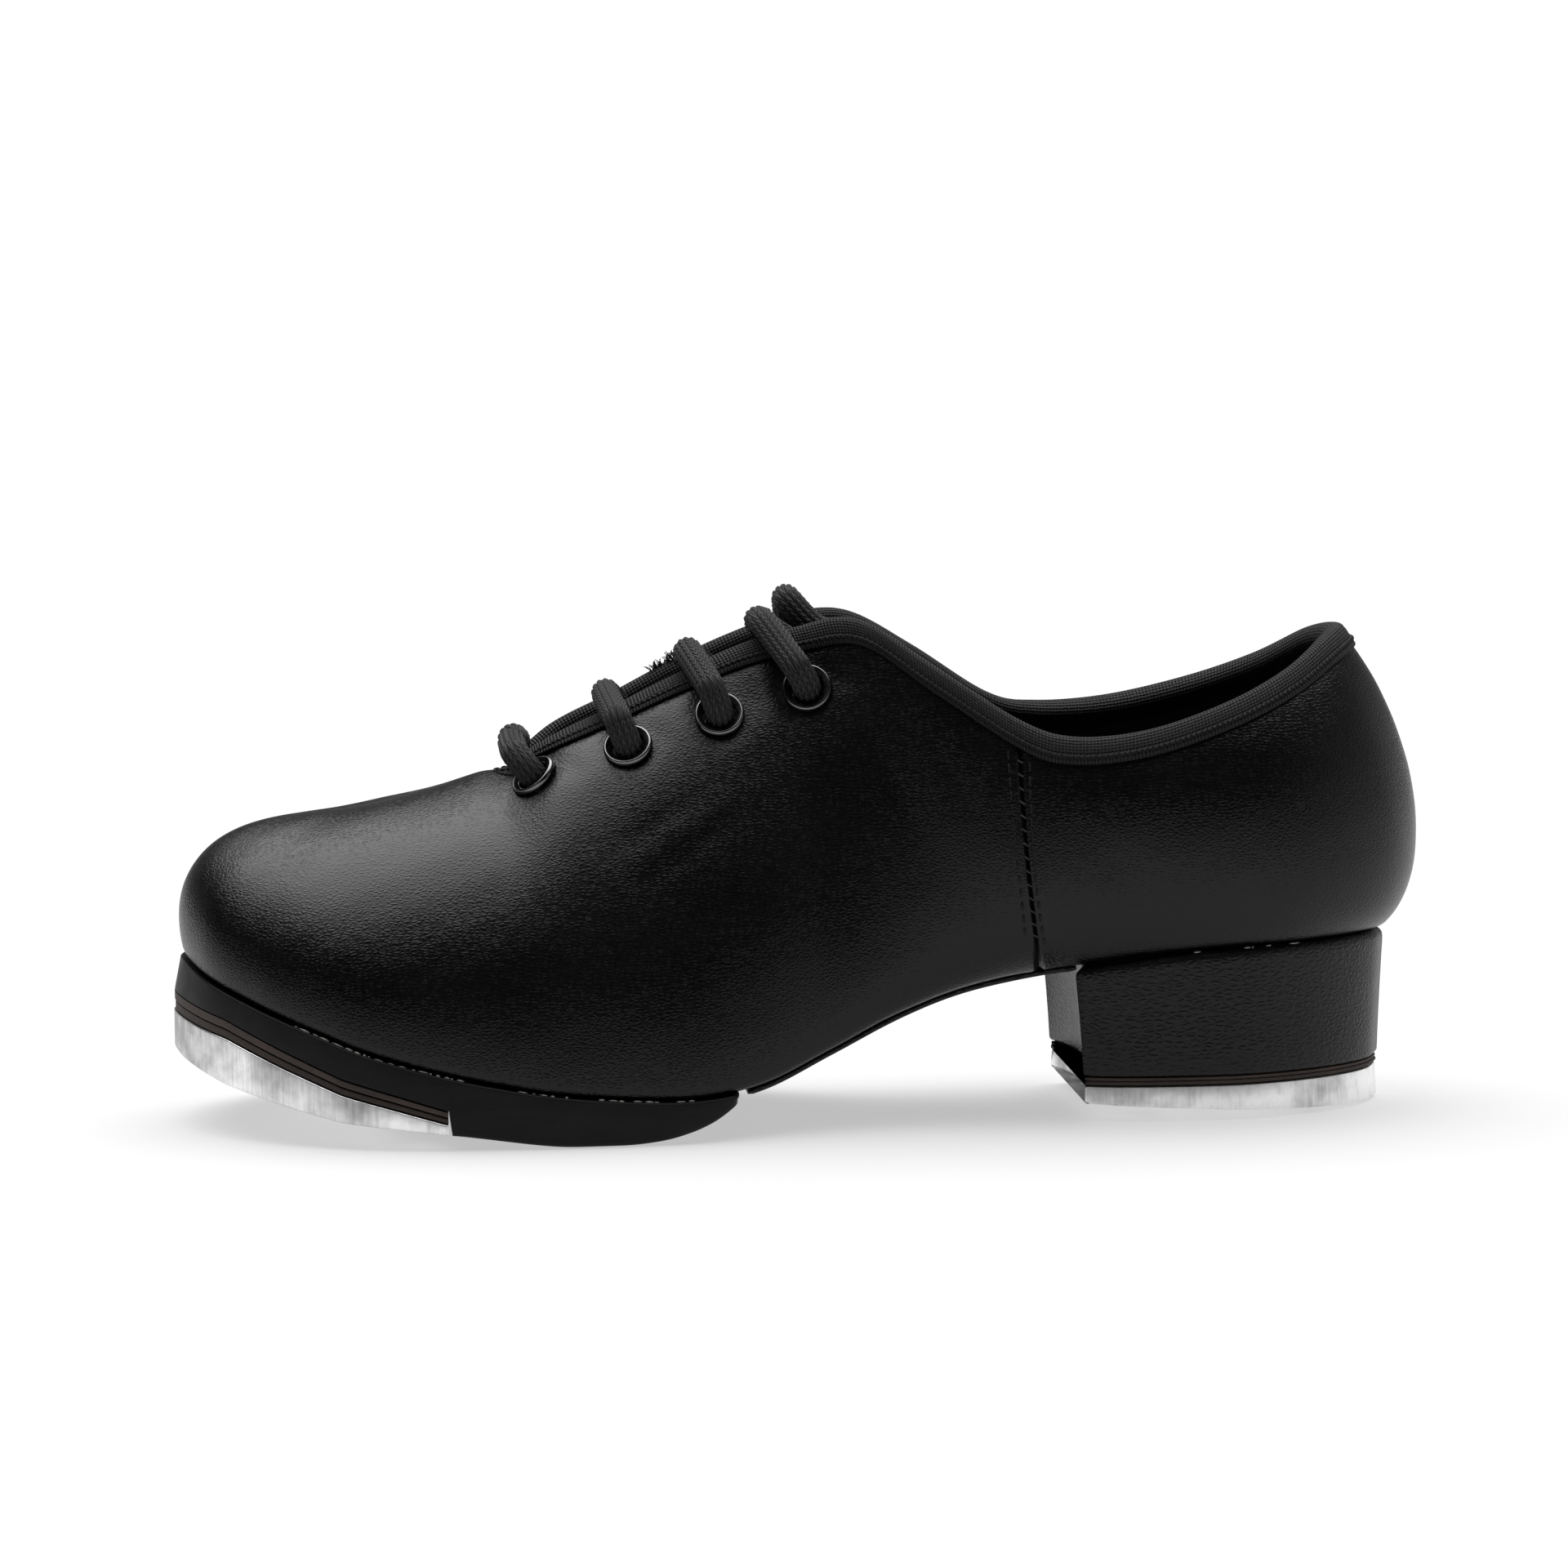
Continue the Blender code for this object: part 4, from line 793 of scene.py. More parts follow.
def point_keys():
    """One number per surface point; the two sides share the points of the ridge."""
    keys = np.arange(RING * STEPS).reshape(RING, STEPS)
    for station in RIDGE:
        keys[RING - station, TOP_STEP] = keys[station, TOP_STEP]
    return keys


KEYS = point_keys()


def layer(name, first, last, low, high, outer, inner, mat, stride=1, shift=0.0, holes=()):
    """A closed shell between two stations, counted round the ring, and two steps."""
    stations = [*range(first, last, stride), last]
    steps = [*range(low, high, stride), high]
    keys = KEYS[np.ix_(np.array(stations) % RING, steps)]
    faces = np.stack([keys[:-1, :-1], keys[1:, :-1], keys[1:, 1:], keys[:-1, 1:]], axis=-1).reshape(-1, 4)
    outer, inner = outer.copy(), inner.copy()
    for end in (first, last):
        outer[end % RING, :, 0] += shift
        inner[end % RING, :, 0] += shift
    outer, inner = outer.reshape(-1, 3), inner.reshape(-1, 3)
    for centre, normal, *_ in holes:
        middle = outer[faces].mean(axis=1) - centre
        height = middle @ normal
        reach = np.linalg.norm(middle - height[:, None] * normal, axis=1)
        gone = (reach < EYELET_HOLE) & (np.abs(height) < 5)
        rim = np.intersect1d(faces[gone], faces[~gone])
        faces = faces[~gone]
        for points in (outer, inner):
            arm = points[rim] - centre
            height = arm @ normal
            flat = arm - height[:, None] * normal
            flat *= (EYELET_HOLE / np.linalg.norm(flat, axis=1))[:, None]
            points[rim] = centre + flat + height[:, None] * normal
    used, places = np.unique(faces, return_inverse=True)
    shell = places.reshape(-1, 4)
    count = len(used)
    edges = np.concatenate([shell[:, [k, (k + 1) % 4]] for k in range(4)])
    forward = {tuple(edge) for edge in edges.tolist()}
    rims = [(b, a, a + count, b + count) for a, b in forward if (b, a) not in forward]
    rims.sort()
    every = shell.tolist() + (shell[:, ::-1] + count).tolist() + rims
    return mesh_object(name, np.concatenate([outer[used], inner[used]]), every, mat)


def make_upper():
    seam, split = round(index_of(SIDE_SEAM_ROW)), round(index_of(LINING_SEAM_ROW))
    holes = list(EYELET_PLACES.values())
    back = sunk(LEATHER_THICKNESS)
    vamp = layer("vamp_leather", -seam, seam, 0, TOP_STEP, LEATHER_FACE, back, LEATHER,
                 shift=-0.05, holes=holes)
    shown(vamp, None, "upper_leather", "vamp", bends=True)
    quarter = layer("heel_quarter_leather", seam, RING - seam, 0, TOP_STEP, LEATHER_FACE, back, LEATHER,
                    shift=0.05)
    shown(quarter, "shoe", "upper_leather", "heel_quarter")
    front, rear = sunk(LINING_DEPTH), sunk(LINING_BACK)
    fabric = layer("vamp_lining_cloth", -split, split, 0, TOP_STEP, front, rear, LINING, 2, -0.1, holes)
    shown(fabric, None, "lining_fabric", "vamp_lining", bends=True)
    fabric = layer("quarter_lining_cloth", split, RING - split, 0, TOP_STEP, front, rear, LINING, 2, 0.1)
    shown(fabric, "shoe", "lining_fabric", "quarter_lining")
    puff, counter = round(index_of(PUFF_LAST_ROW)), round(index_of(COUNTER_FIRST_ROW))
    front, rear = (sunk(depth) for depth in STIFFENER_DEPTHS)
    stiff = layer("toe_puff_shell", -puff, puff, SEAM_STEP, TOP_STEP, front, rear, STIFFENER, 2)
    shown(stiff, None, "stiffener", "toe_puff", bends=True)
    stiff = layer("heel_counter_shell", counter, RING - counter, SEAM_STEP, COUNTER_TOP, front, rear,
                  STIFFENER, 2)
    shown(stiff, "shoe", "stiffener", "heel_counter")


# ---------------------------------------------------------------- binding, tongue, stitches

def across_places(first, last, spacing_rows):
    """Stations evenly spaced in rows between two row positions, counted round the ring."""
    rows = np.linspace(first, last, int(round((last - first) / spacing_rows)) + 1)
    return [index_of(row) for row in rows]


def arc(centre, radius, start, end, count):
    """Points of an arc in (below, deep), with angles in degrees from straight outwards."""
    angles = np.radians(np.linspace(start, end, count))
    return [(centre[0] - radius[0] * math.sin(a), centre[1] - radius[1] * math.cos(a)) for a in angles]


def binding_profile(depth):
    """The folded tape's cross section: outer leg, the fold over the edge, inner leg, and back inside it."""
    outer = [(5.0, -0.35), (5.0, -0.62), (4.85, -0.8), (4.4, -0.84), (3.9, -0.8), (3.5, -0.68), (3.1, -0.8),
             (2.4, -0.95), (1.6, -1.05)]
    fold = arc((0.6, depth / 2), (1.95, depth / 2 + 1.08), 8, 172, 15)
    inner = [(1.6, depth + 1.0), (2.6, depth + 0.95), (3.6, depth + 0.9), (4.3, depth + 0.88),
             (4.5, depth + 0.7), (4.5, depth + 0.35)]
    under = [(2.0, depth + 0.3), (-0.2, depth + 0.3), (-0.3, depth / 2), (-0.2, -0.3), (2.0, -0.3)]
    return np.array(outer + fold + inner + under)


def make_binding():
    first, last = THROAT_ROW + 0.45, 2 * LAST_ROW - THROAT_ROW - 0.45
    stations = across_places(first, last, 0.075)
    rings, middle = [], []
    for station in stations:
        profile = binding_profile(float(np.interp(station, np.arange(RING), LINING_BACK)))
        points, _ = down_the_side(station, profile[:, 0], profile[:, 1])
        rings.append(points)
        middle.append(points[16])
    along = run_of(middle)
    around = np.concatenate([rings[0], rings[0][:1]])
    across = run_of(around)
    tape = loft("binding_tape", [rings], TAPE, along, across, angle=70)
    shown(tape, None, "binding_ribbon", "topline_binding", bends=True)
    make_chain_stitch(first, last)
    make_inner_stitches(first, last)


def make_chain_stitch(first, last):
    """The raised twisted stitch along the outer leg of the tape."""
    line = [down_the_side(s, 3.5, -0.78)[0][0] for s in across_places(first + 0.02, last - 0.02, 0.075)]
    line, run = even_line(line, 0.3)
    sides = 8
    angles = np.linspace(0, 2 * math.pi, sides, endpoint=False)
    twist = np.cos(2 * angles[None, :] - 2 * math.pi * run[:, None] / 1.15)
    rings = tube_rings(line, 0.4 * (1 + 0.42 * twist), sides)
    shown(loft("binding_chain_stitch", [rings], TAPE_THREAD), None, "binding_ribbon", bends=True)


def stitch(points, radius, lift, sides=6):
    """One thread between two holes; points are places along the surface and the normals there."""
    places, normals = points
    share = np.linspace(0, 1, len(places))
    rise = lift * np.sin(np.pi * share) ** 0.6 - 1.3 * radius * (np.abs(2 * share - 1) ** 6)
    line = places + normals * rise[:, None]
    shrink = radius * (1 - 0.35 * np.abs(2 * share - 1) ** 4)
    return tube_rings(line, shrink, sides)


def stitch_row(line, normals, pitch, share, radius, lift):
    """The visible threads of a row of stitches; each covers a share of the pitch."""
    line, normals = np.asarray(line), np.asarray(normals)
    run = run_of(line)
    threads = []
    for k in range(int(run[-1] / pitch)):
        at = np.linspace(k * pitch, (k + share) * pitch, 7)
        places = points_at(at, run, line)
        ways = points_at(at, run, normals)
        threads.append(stitch((places, ways), radius, lift))
    return threads


def make_inner_stitches(first, last):
    """The stitches that show on the tape's inner leg."""
    line, normals = [], []
    for station in across_places(first, last, 0.15):
        depth = float(np.interp(station, np.arange(RING), LINING_BACK))
        point, normal = down_the_side(station, 3.4, depth + 0.86)
        line.append(point[0])
        normals.append(-normal[0])
    threads = stitch_row(line, normals, 2.6, 0.8, 0.2, 0.1)
    shown(loft("binding_inner_stitches", threads, THREAD), None, "binding_ribbon", bends=True)


def make_frayed_end():
    """Loose ends of yarn where the tape is worn on the medial edge."""
    draw = np.random.default_rng(7)
    threads = []
    for _ in range(FRAYED_THREADS):
        share = draw.uniform(0, 1)
        station = station_at_x(-28.5 + 5.5 * share, 0, True)
        point, normal = down_the_side(station, draw.uniform(-1.2, 0.6), -0.7)
        rise = UP * draw.uniform(0.9, 1.5 + 0.9 * share)
        rise = rise + np.array([draw.uniform(-1.5, 0.5), draw.uniform(-0.6, 0.6), 0])
        bend = draw.uniform(-0.5, 0.5, 3)
        base = point[0] - normal[0] * 0.4
        line = smooth_line([base, base + rise * 0.5 + bend * 0.4, base + rise + bend], np.linspace(0, 2, 7))
        threads.append(tube_rings(line, np.linspace(0.16, 0.08, 7), 5))
    shown(loft("frayed_tape_end", threads, THREAD), None, "binding_ribbon", bends=True)


def make_tongue():
    """The tongue's leather, dropping away from the facings' edges to leave room for the lace."""
    profile = np.array(((17.0, 11.8), (12.0, 11.8), (7.0, 11.8), (3.0, 11.6)))
    rings = []
    for row in np.linspace(5.4, 11.1, 46):
        station = index_of(row)
        sink = float(np.interp(row, (5.4, 6.0, 6.4), (4.4, 4.4, 11.8))) / 11.8
        deep = np.maximum(profile[:, 1] * sink, 4.4)
        sides = [down_the_side(s, profile[:, 0], deep)[0] for s in (station, RING - station)]
        drop = float(np.interp(row, (6.0, 6.9), (4.6, TONGUE_DROP)))
        middle = (down_the_side(station, 0)[0][0] + down_the_side(RING - station, 0)[0][0]) / 2 - UP * drop
        line = smooth_line([*sides[0], middle, *sides[1][::-1]], np.linspace(0, 8, 49))
        along = np.gradient(line, axis=0)
        down = np.cross(along, (1.0, 0.0, 0.35))
        down *= -np.sign(down[24, 2]) / np.linalg.norm(down, axis=1, keepdims=True)
        edge = np.minimum(1.0, np.minimum(np.arange(49), 48 - np.arange(49)) / 2.0) ** 0.5
        thick = 0.75 * edge * min(1.0, (11.18 - row) / 0.1) ** 0.5
        middle_line = line + down * 0.75
        wave = 0.12 * np.sin(row * 5.1) * np.sin(np.linspace(0, 9, 49) + row)
        upper = middle_line - down * (thick + wave * edge)[:, None]
        lower = middle_line + down * thick[:, None]
        rings.append(np.concatenate([upper, lower[-2:0:-1]]))
    shown(loft("tongue_leather", [rings], TONGUE_LEATHER), None, "upper_leather", "tongue", bends=True)


def make_seam_stitches():
    """Two rows beside each side seam, and the threads that cross its groove."""
    rows, crossings = [], []
    for medial in (False, True):
        at = 2 * LAST_ROW - SIDE_SEAM_ROW if medial else SIDE_SEAM_ROW
        below = np.linspace(6.6, 46.0, 60)
        for side in (-0.17, 0.17):
            line, normals = down_the_side(index_of(at + side), below, -0.02)
            rows += stitch_row(line, normals, 2.75, 0.74, 0.27, 0.16)
        left, left_normals = down_the_side(index_of(at - 0.055), below, 0.02)
        right, _ = down_the_side(index_of(at + 0.055), below, 0.02)
        run = run_of(left)
        for s in np.arange(0.9, run[-1], 2.75):
            ends = [points_at(s, run, side) for side in (left, right)]
            normal = points_at(s, run, left_normals)
            places = np.linspace(ends[0], ends[1], 7)
            crossings.append(stitch((places, np.tile(normal, (7, 1))), 0.17, -0.28))
    shown(loft("side_seam_stitches", rows, THREAD), "shoe", "upper_leather")
    # The threads across the seam's groove are pale: a painted highlight.
    shown(loft("side_seam_cross_threads", crossings, PALE_THREAD), "shoe", "upper_leather")


def make_throat_stitches():
    """The bar of stitches that closes the front of the throat, a V on each side of the ridge."""
    rows = []
    for medial in (False, True):
        for path in (((5.55, 1.2), (5.95, 6.4), (6.25, 9.6)), ((5.55, 1.2), (5.85, 2.6), (6.35, 5.6))):
            line, normals = [], []
            for share in np.linspace(0, len(path) - 1, 24):
                row, below = smooth_line([(*p, 0) for p in path], np.array([share]))[0][:2]
                station = index_of(2 * LAST_ROW - row if medial else row)
                point, normal = down_the_side(station, below, -0.02)
                line.append(point[0])
                normals.append(normal[0])
            rows += stitch_row(line, normals, 1.7, 0.78, 0.24, 0.14)
    shown(loft("throat_stitches", rows, THREAD), None, "upper_leather", bends=True)


# ---------------------------------------------------------------- eyelets and lace

def make_eyelets():
    back = LINING_START + LINING_THICKNESS
    turns = np.radians((0, 22, 45, 68, 90))
    flange = [(5.0 - 0.5 * (1 - math.cos(a)), 0.35 + 0.8 * math.sin(a)) for a in turns]
    bevel = [(4.5, 1.15), (4.38, 1.12), (3.6, 0.76), (3.44, 0.58), (3.36, 0.2), (3.3, -0.5)]
    foot = [(3.3, -back - 1.3), (3.5, -back - 1.55), (4.3, -back - 1.5), (4.62, -back - 1.3),
            (4.6, -back - 1.05), (3.75, -back - 0.95), (3.7, -0.3), (3.8, 0.2), (5.0, 0.2)]
    for (side, number), (centre, normal, *_) in EYELET_PLACES.items():
        ring = turned(f"eyelet_ring_{side}_{number}", flange + bevel + foot, centre, normal, GUNMETAL, 64,
                      closed=True, angle=60)
        shown(ring, None, "eyelet_metal", f"eyelet_{side}_{number}", bends=True)


def lace_route():
    """The lace's points: tail, over the edge, through the eyelets row by row, and out to the other tail."""
    centre, normal, place = {}, {}, {}
    for (side, number), (point, direction, station, below) in EYELET_PLACES.items():
        key = (side[0], number)
        centre[key], normal[key] = point, direction
        place[key] = np.array([station, below])

    def through(key, toward, outside=4.5):
        """From inside the eyelet up and out over its flange, towards a point."""
        c, n = centre[key], normal[key]
        way = toward - c
        way = way - n * np.dot(way, n)
        way /= np.linalg.norm(way)
        return [c - n * 5.0, c - n * 1.0, c + n * 2.4 + way * 0.4, c + n * outside + way * 2.6,
                c + n * (outside + 0.3) + way * 5.0]

    def round_edge(key, *angles, reach=LACE_EDGE_REACH):
        """Round the folded edge, from its outside (0 degrees) over its top (90) to the inside (180)."""
        lean = (LACE_LEAN if key[0] == "l" else LACE_MEDIAL_LEAN)[key[1] - 1]
        station = station_at_x(centre[key][0] + lean, 0, key[0] == "m")
        top, n = on_surface(station, 0, 0)
        rise = top - on_surface(station, 2, 0)[0]
        rise /= np.linalg.norm(rise)
        middle = top - n * EDGE_MIDDLE[0] - rise * EDGE_MIDDLE[1]
        turns = np.radians(angles)
        return [middle + reach * (n * math.cos(a) + rise * math.sin(a)) for a in turns]

    def outwards(key):
        """From inside an eyelet out and up to the folded edge."""
        if key[1] == 1:
            edge = round_edge(key, 12, 40)
        else:
            edge = round_edge(key, 12, 50) + round_edge(key, 92, reach=LACE_CREST_REACH)
        return through(key, edge[0]) + edge

    def crossing(number):
        """From inside a lateral eyelet over the lateral edge and under the medial facing to its eyelet."""
        other = ("m", number)
        under_edge = round_edge(other, 192, reach=LACE_UNDER_EDGE_REACH)
        inner = centre[other] - normal[other] * LACE_RUN_DEPTH
        way = under_edge[0] - inner
        return outwards(("l", number)) + under_edge + [inner + way / np.linalg.norm(way) * 2.2]

    def outer_run(a, b):
        """Out of one medial eyelet, along the leather, and into the next."""
        middle = (centre[a] + centre[b]) / 2 + (normal[a] + normal[b]) * 1.8
        return through(a, centre[b], 4.4)[:-1] + [middle] + through(b, centre[a], 4.4)[-2::-1]

    def run_below(a, b, sag=0.0):
        """Under the facing from one eyelet to another, sagging away from the facing's edge by sag."""
        start, end = centre[a] - normal[a] * LACE_RUN_DEPTH, centre[b] - normal[b] * LACE_RUN_DEPTH
        along = (end - start) / np.linalg.norm(end - start)
        points = [start + along * 2.2]
        if sag:
            for share in (0.15, 0.38, 0.62, 0.85):
                station, below = (1 - share) * place[a] + share * place[b]
                points.append(on_surface(station, below + sag, LACE_RUN_DEPTH)[0])
        return points + [end - along * 2.2]

    lateral_tail = ((64.0, -17.5, 43.0), (50.0, -16.5, 41.2), (37.0, -16.5, 38.8), (28.0, -18.0, 38.5),
                    (22.0, -20.5, 46.0), (19.5, -20.0, 58.0), (17.5, -16.0, 70.0), (15.5, -10.0, 82.0),
                    (11.5, -4.5, 90.5), (5.0, -1.8, 93.0), (-1.0, 0.0, 94.5))
    medial_tail = ((64.0, 16.5, 43.0), (50.0, 15.5, 41.2), (37.0, 15.0, 38.8), (28.0, 15.5, 38.5),
                   (23.0, 17.5, 46.0), (20.5, 18.0, 58.0), (18.5, 15.5, 70.0), (16.5, 11.5, 82.0),
                   (13.5, 7.0, 92.0), (8.5, 4.8, 95.5), (3.5, 4.6, 97.5))
    route = [np.array(point) for point in lateral_tail] + outwards(("l", 4))[::-1]
    route += run_below(("l", 4), ("l", 3)) + crossing(3)
    route += outer_run(("m", 3), ("m", 2)) + crossing(2)[::-1]
    route += run_below(("l", 2), ("l", 1)) + outwards(("l", 1)) + outwards(("m", 1))[::-1]
    route += run_below(("m", 1), ("m", 4), sag=7.0)
    route += outwards(("m", 4)) + [np.array(point) for point in medial_tail[::-1]]
    return route


def make_lace():
    """A braided lace: V-shaped strands in columns round it."""
    route = lace_route()
    line, run = even_line(route, LACE_SPACING)
    sides = 4 * PLAIT_COLUMNS
    angles = np.linspace(0, 2 * math.pi, sides, endpoint=False)
    share = (angles * PLAIT_COLUMNS / (2 * math.pi)) % 1.0 - 0.5
    strand = np.abs(np.sin(np.pi * (run[:, None] / PLAIT_PITCH - PLAIT_V * np.abs(share)[None, :]))) ** 0.7
    column = np.cos(np.pi * share) ** 0.5
    wobble = 0.05 * np.sin(run / 5.3)[:, None] * np.cos(angles + 0.3)[None, :]
    radii = LACE_RADIUS - 0.3 + 0.34 * strand * (0.3 + 0.7 * column)[None, :]
    radii = radii + 0.12 * column[None, :] + wobble
    across = np.arange(sides + 1) * PLAIT_COLUMNS / sides
    lace = loft("braided_lace", [tube_rings(line, radii, sides)], CORD, run, across, angle=180)
    shown(lace, None, "lace_cord", "shoelace", bends=True)
    for side, end, before in (("lateral", route[0], route[1]), ("medial", route[-1], route[-2])):
        ahead = (end - before) / np.linalg.norm(end - before)
        ahead[2] = 0.12
        wall = LACE_RADIUS - 0.3
        profile = [(wall - 0.35, 0.3), (wall, 0.5), (wall, 1.4), (wall - 0.12, 1.7), (wall, 2.0),
                   (wall, 14.2), (wall - 0.2, 15.2), (wall - 0.8, 15.9), (0.4, 16.1)]
        tag = turned(f"lace_tag_{side}", profile, end, ahead, PLASTIC, 32)
        shown(tag, "shoe", "aglet_plastic", f"aglet_{side}")


# ---------------------------------------------------------------- the bottom

def seam_pair(station, out):
    """Lateral and medial points on the sole seam, moved outwards, at a fractional station."""
    pair = []
    for s in (station, RING - station):
        i, f = int(math.floor(s)), s - math.floor(s)
        a, b = i % RING, (i + 1) % RING
        normal = (1 - f) * OUT[a] + f * OUT[b]
        pair.append((1 - f) * SEAMS[a] + f * SEAMS[b] + normal * out)
    return pair


def station_of_seam_x(x):
    return float(np.interp(x, SEAMS[: HALF + 1, 0], np.arange(HALF + 1)))


def under(table, x):
    return np.interp(x, [p[0] for p in table], [p[1] for p in table])


def smooth_under(table, x, reach=2.5):
    """A height from a table, with its corners rounded."""
    return float(np.mean([under(table, x + d) for d in np.linspace(-reach, reach, 7)]))


def corner(tip, inwards, rise, radius, count=5):
    """A rounded corner in a cross section, from the side to the flat."""
    centre = tip + inwards * radius + UP * rise * radius
    angles = np.linspace(0, math.pi / 2, count)
    return [centre - inwards * radius * math.cos(a) - UP * rise * radius * math.sin(a) for a in angles]


def section(station, outs, heights, radii, spread=7):
    """A closed cross section of a bottom piece: out, height and corner radius at its top and its foot."""
    (top_l, top_m), (foot_l, foot_m) = seam_pair(station, outs[0]), seam_pair(station, outs[1])
    for points, height in (((top_l, top_m), heights[0]), ((foot_l, foot_m), heights[1])):
        for point in points:
            point[2] = height(point[0])
    width = np.linalg.norm((foot_m - foot_l)[:2])
    across = (foot_m - foot_l) / width if width > 0.01 else np.array([0.0, 1.0, 0.0])
    across = across * (1, 1, 0)
    deep = abs(top_l[2] - foot_l[2])
    top_r, foot_r = (min(r, 0.45 * width, 0.45 * deep) for r in radii)
    feet = corner(foot_l, across, 1, foot_r), corner(foot_m, -across, 1, foot_r)[::-1]
    tops = corner(top_m, -across, -1, top_r), corner(top_l, across, -1, top_r)[::-1]
    between_feet = np.linspace(feet[0][-1], feet[1][0], spread)[1:-1]
    between_tops = np.linspace(tops[0][-1], tops[1][0], spread)[1:-1]
    return np.array([*feet[0], *between_feet, *feet[1], *tops[0], *between_tops, *tops[1]])


def toe_stations(end_x, step=0.75):
    end = station_of_seam_x(end_x)
    return [0.02, 0.25, 0.6, *np.arange(1.0, end - 0.3, step), end]


def make_outsole():
    """The forepart sole: a step for the tap under the toe, and full thickness under the ball."""
    def top(x):
        return float(seam_z(x)) - 0.25

    def step(x):
        return float(under(SOLE_UNDER_TAP, x))

    def ball(x):
        return smooth_under(SOLE_UNDER_BALL, x)

    out, foot_out = SOLE_REACH
    rings = []
    for station in toe_stations(SOLE_UNDER_TAP[-1][0]):
        reach = float(np.interp(ROW_AT[int(station)], (0, 3), (2.2, 1.0)))
        rings.append(section(station, (out, reach), (top, step), (0.5, 0.15)))
    start, end = station_of_seam_x(SOLE_UNDER_BALL[0][0]), station_of_seam_x(SOLE_REAR_X)
    for station in np.arange(start, end, 0.75):
        rings.append(section(station, (out, foot_out), (top, ball), (0.5, 1.1)))
    for share in np.linspace(0, 1, 9):
        station = station_of_seam_x(SOLE_REAR_X + SOLE_REAR_RUN * share)
        tuck, rounding = SOLE_REAR_TUCK * share ** 2, SOLE_REAR_ROUNDING * share ** 3
        heights = (lambda x: top(x) - rounding * 0.4, lambda x: ball(x) + rounding)
        rings.append(section(station, (out - tuck, foot_out - tuck), heights, (0.5, 1.3)))
    sole = loft("forepart_sole", [rings], SOLE, angle=40)
    shown(sole, None, "sole", "outsole", bends=True)


def board_share(share, lift):
    """Height inside the stack of boards: 0 at its foot, 1 at its top."""
    def height(x):
        return float(under(SOLE_UNDER_TAP, x)) - 0.3 - float(under(BOARD_STACK, x)) * (1 - share) + lift
    return height


def tool(obj):
    obj.hide_render = True
    return obj


def toe_layer(name, top, foot, back_off, radii, mat, cutters, bevel):
    rings = []
    for station in toe_stations(TAP_END_X):
        reach = float(np.interp(ROW_AT[int(station)], (0, 3), (2.4, 1.1))) - back_off
        rings.append(section(station, (reach, reach), (top, foot), radii))
    piece = loft(name, [rings], mat)
    for cutter in cutters:
        cut(piece, cutter)
    soften(piece, bevel)
    return settle(piece)


def screw(name, x, y, foot_z, slope):
    """The head of a countersunk screw with a cross recess, and its shank."""
    axis = Vector((-slope, 0, 1)).normalized()
    profile = ((0.2, 0.28), (2.85, 0.28), (3.0, 0.32), (3.1, 0.45), (3.1, 0.7), (1.35, 2.3), (1.3, 2.6),
               (1.3, 7.0), (1.0, 7.6), (0.3, 8.2))
    made = turned(name, profile, (x, y, foot_z), axis, STEEL, 40, angle=30)
    helpers = []
    for turn in (0.4, 0.4 + math.pi / 2):
        work = bmesh.new()
        bmesh.ops.create_cube(work, size=1.0)
        mesh = bpy.data.meshes.new("slot")
        work.to_mesh(mesh)
        work.free()
        bar = placed(f"slot_{name}", mesh)
        bar.scale = (3.4 * MM, 0.62 * MM, 2.2 * MM)
        bar.rotation_euler = (0, -math.atan(slope), turn)
        bar.location = (x * MM, y * MM, foot_z * MM)
        cut(made, tool(bar))
        helpers.append(bar)
    settle(made, *helpers, angle=30)
    return made, axis


def screw_room(name, x, y, foot_z, axis):
    """The countersunk hole round a screw."""
    wide = ((4.2, -2.0), (3.45, 0.0), (3.45, 0.8), (1.65, 2.6), (1.65, 12.0))
    return tool(turned(f"room_{name}", wide, (x, y, foot_z), axis, STEEL, 40))


def make_toe_tap():
    notch_profile = ((TAP_NOTCH_RADIUS, -5.0), (TAP_NOTCH_RADIUS, 30.0))
    notch_middle = (TAP_NOTCH_X + TAP_NOTCH_RADIUS, 1.0, 0)
    notch = tool(turned("notch", notch_profile, notch_middle, (0, 0, 1), STEEL, 160))
    rooms = []
    for number, (x, y) in enumerate(TOE_SCREWS, 1):
        slope = float(under(TAP_UNDER, x + 4) - under(TAP_UNDER, x - 4)) / 8
        foot = float(under(TAP_UNDER, x))
        made, axis = screw(f"toe_screw_{number}", x, y, foot, slope)
        shown(made, "forefoot", "steel", f"toe_tap_screw_{number}")
        rooms.append(screw_room(f"toe_{number}", x, y, foot, axis))
    cutters = [notch, *rooms]
    layers = (
        ("toe_board_upper_layer", board_share(1, 0), board_share(0.5, 0.12), 0.15, (0.2, 0.15),
         PALE_BOARD, 0.12, "leatherboard", "toe_board_upper"),
        ("toe_board_lower_layer", board_share(0.5, -0.12), board_share(0, 0), 0.3, (0.3, 0.2),
         BOARD, 0.15, "leatherboard", "toe_board_lower"),
        ("toe_tap_plate", board_share(0, -0.3), lambda x: float(under(TAP_UNDER, x)), 0.0, (0.3, 0.55),
         WORN_ALUMINIUM, 0.3, "tap_aluminium", "toe_tap"),
    )
    for name, top, foot, back_off, radii, mat, bevel, slot, node in layers:
        shown(toe_layer(name, top, foot, back_off, radii, mat, cutters, bevel), "forefoot", slot, node)
    for helper in cutters:
        bpy.data.objects.remove(helper, do_unlink=True)


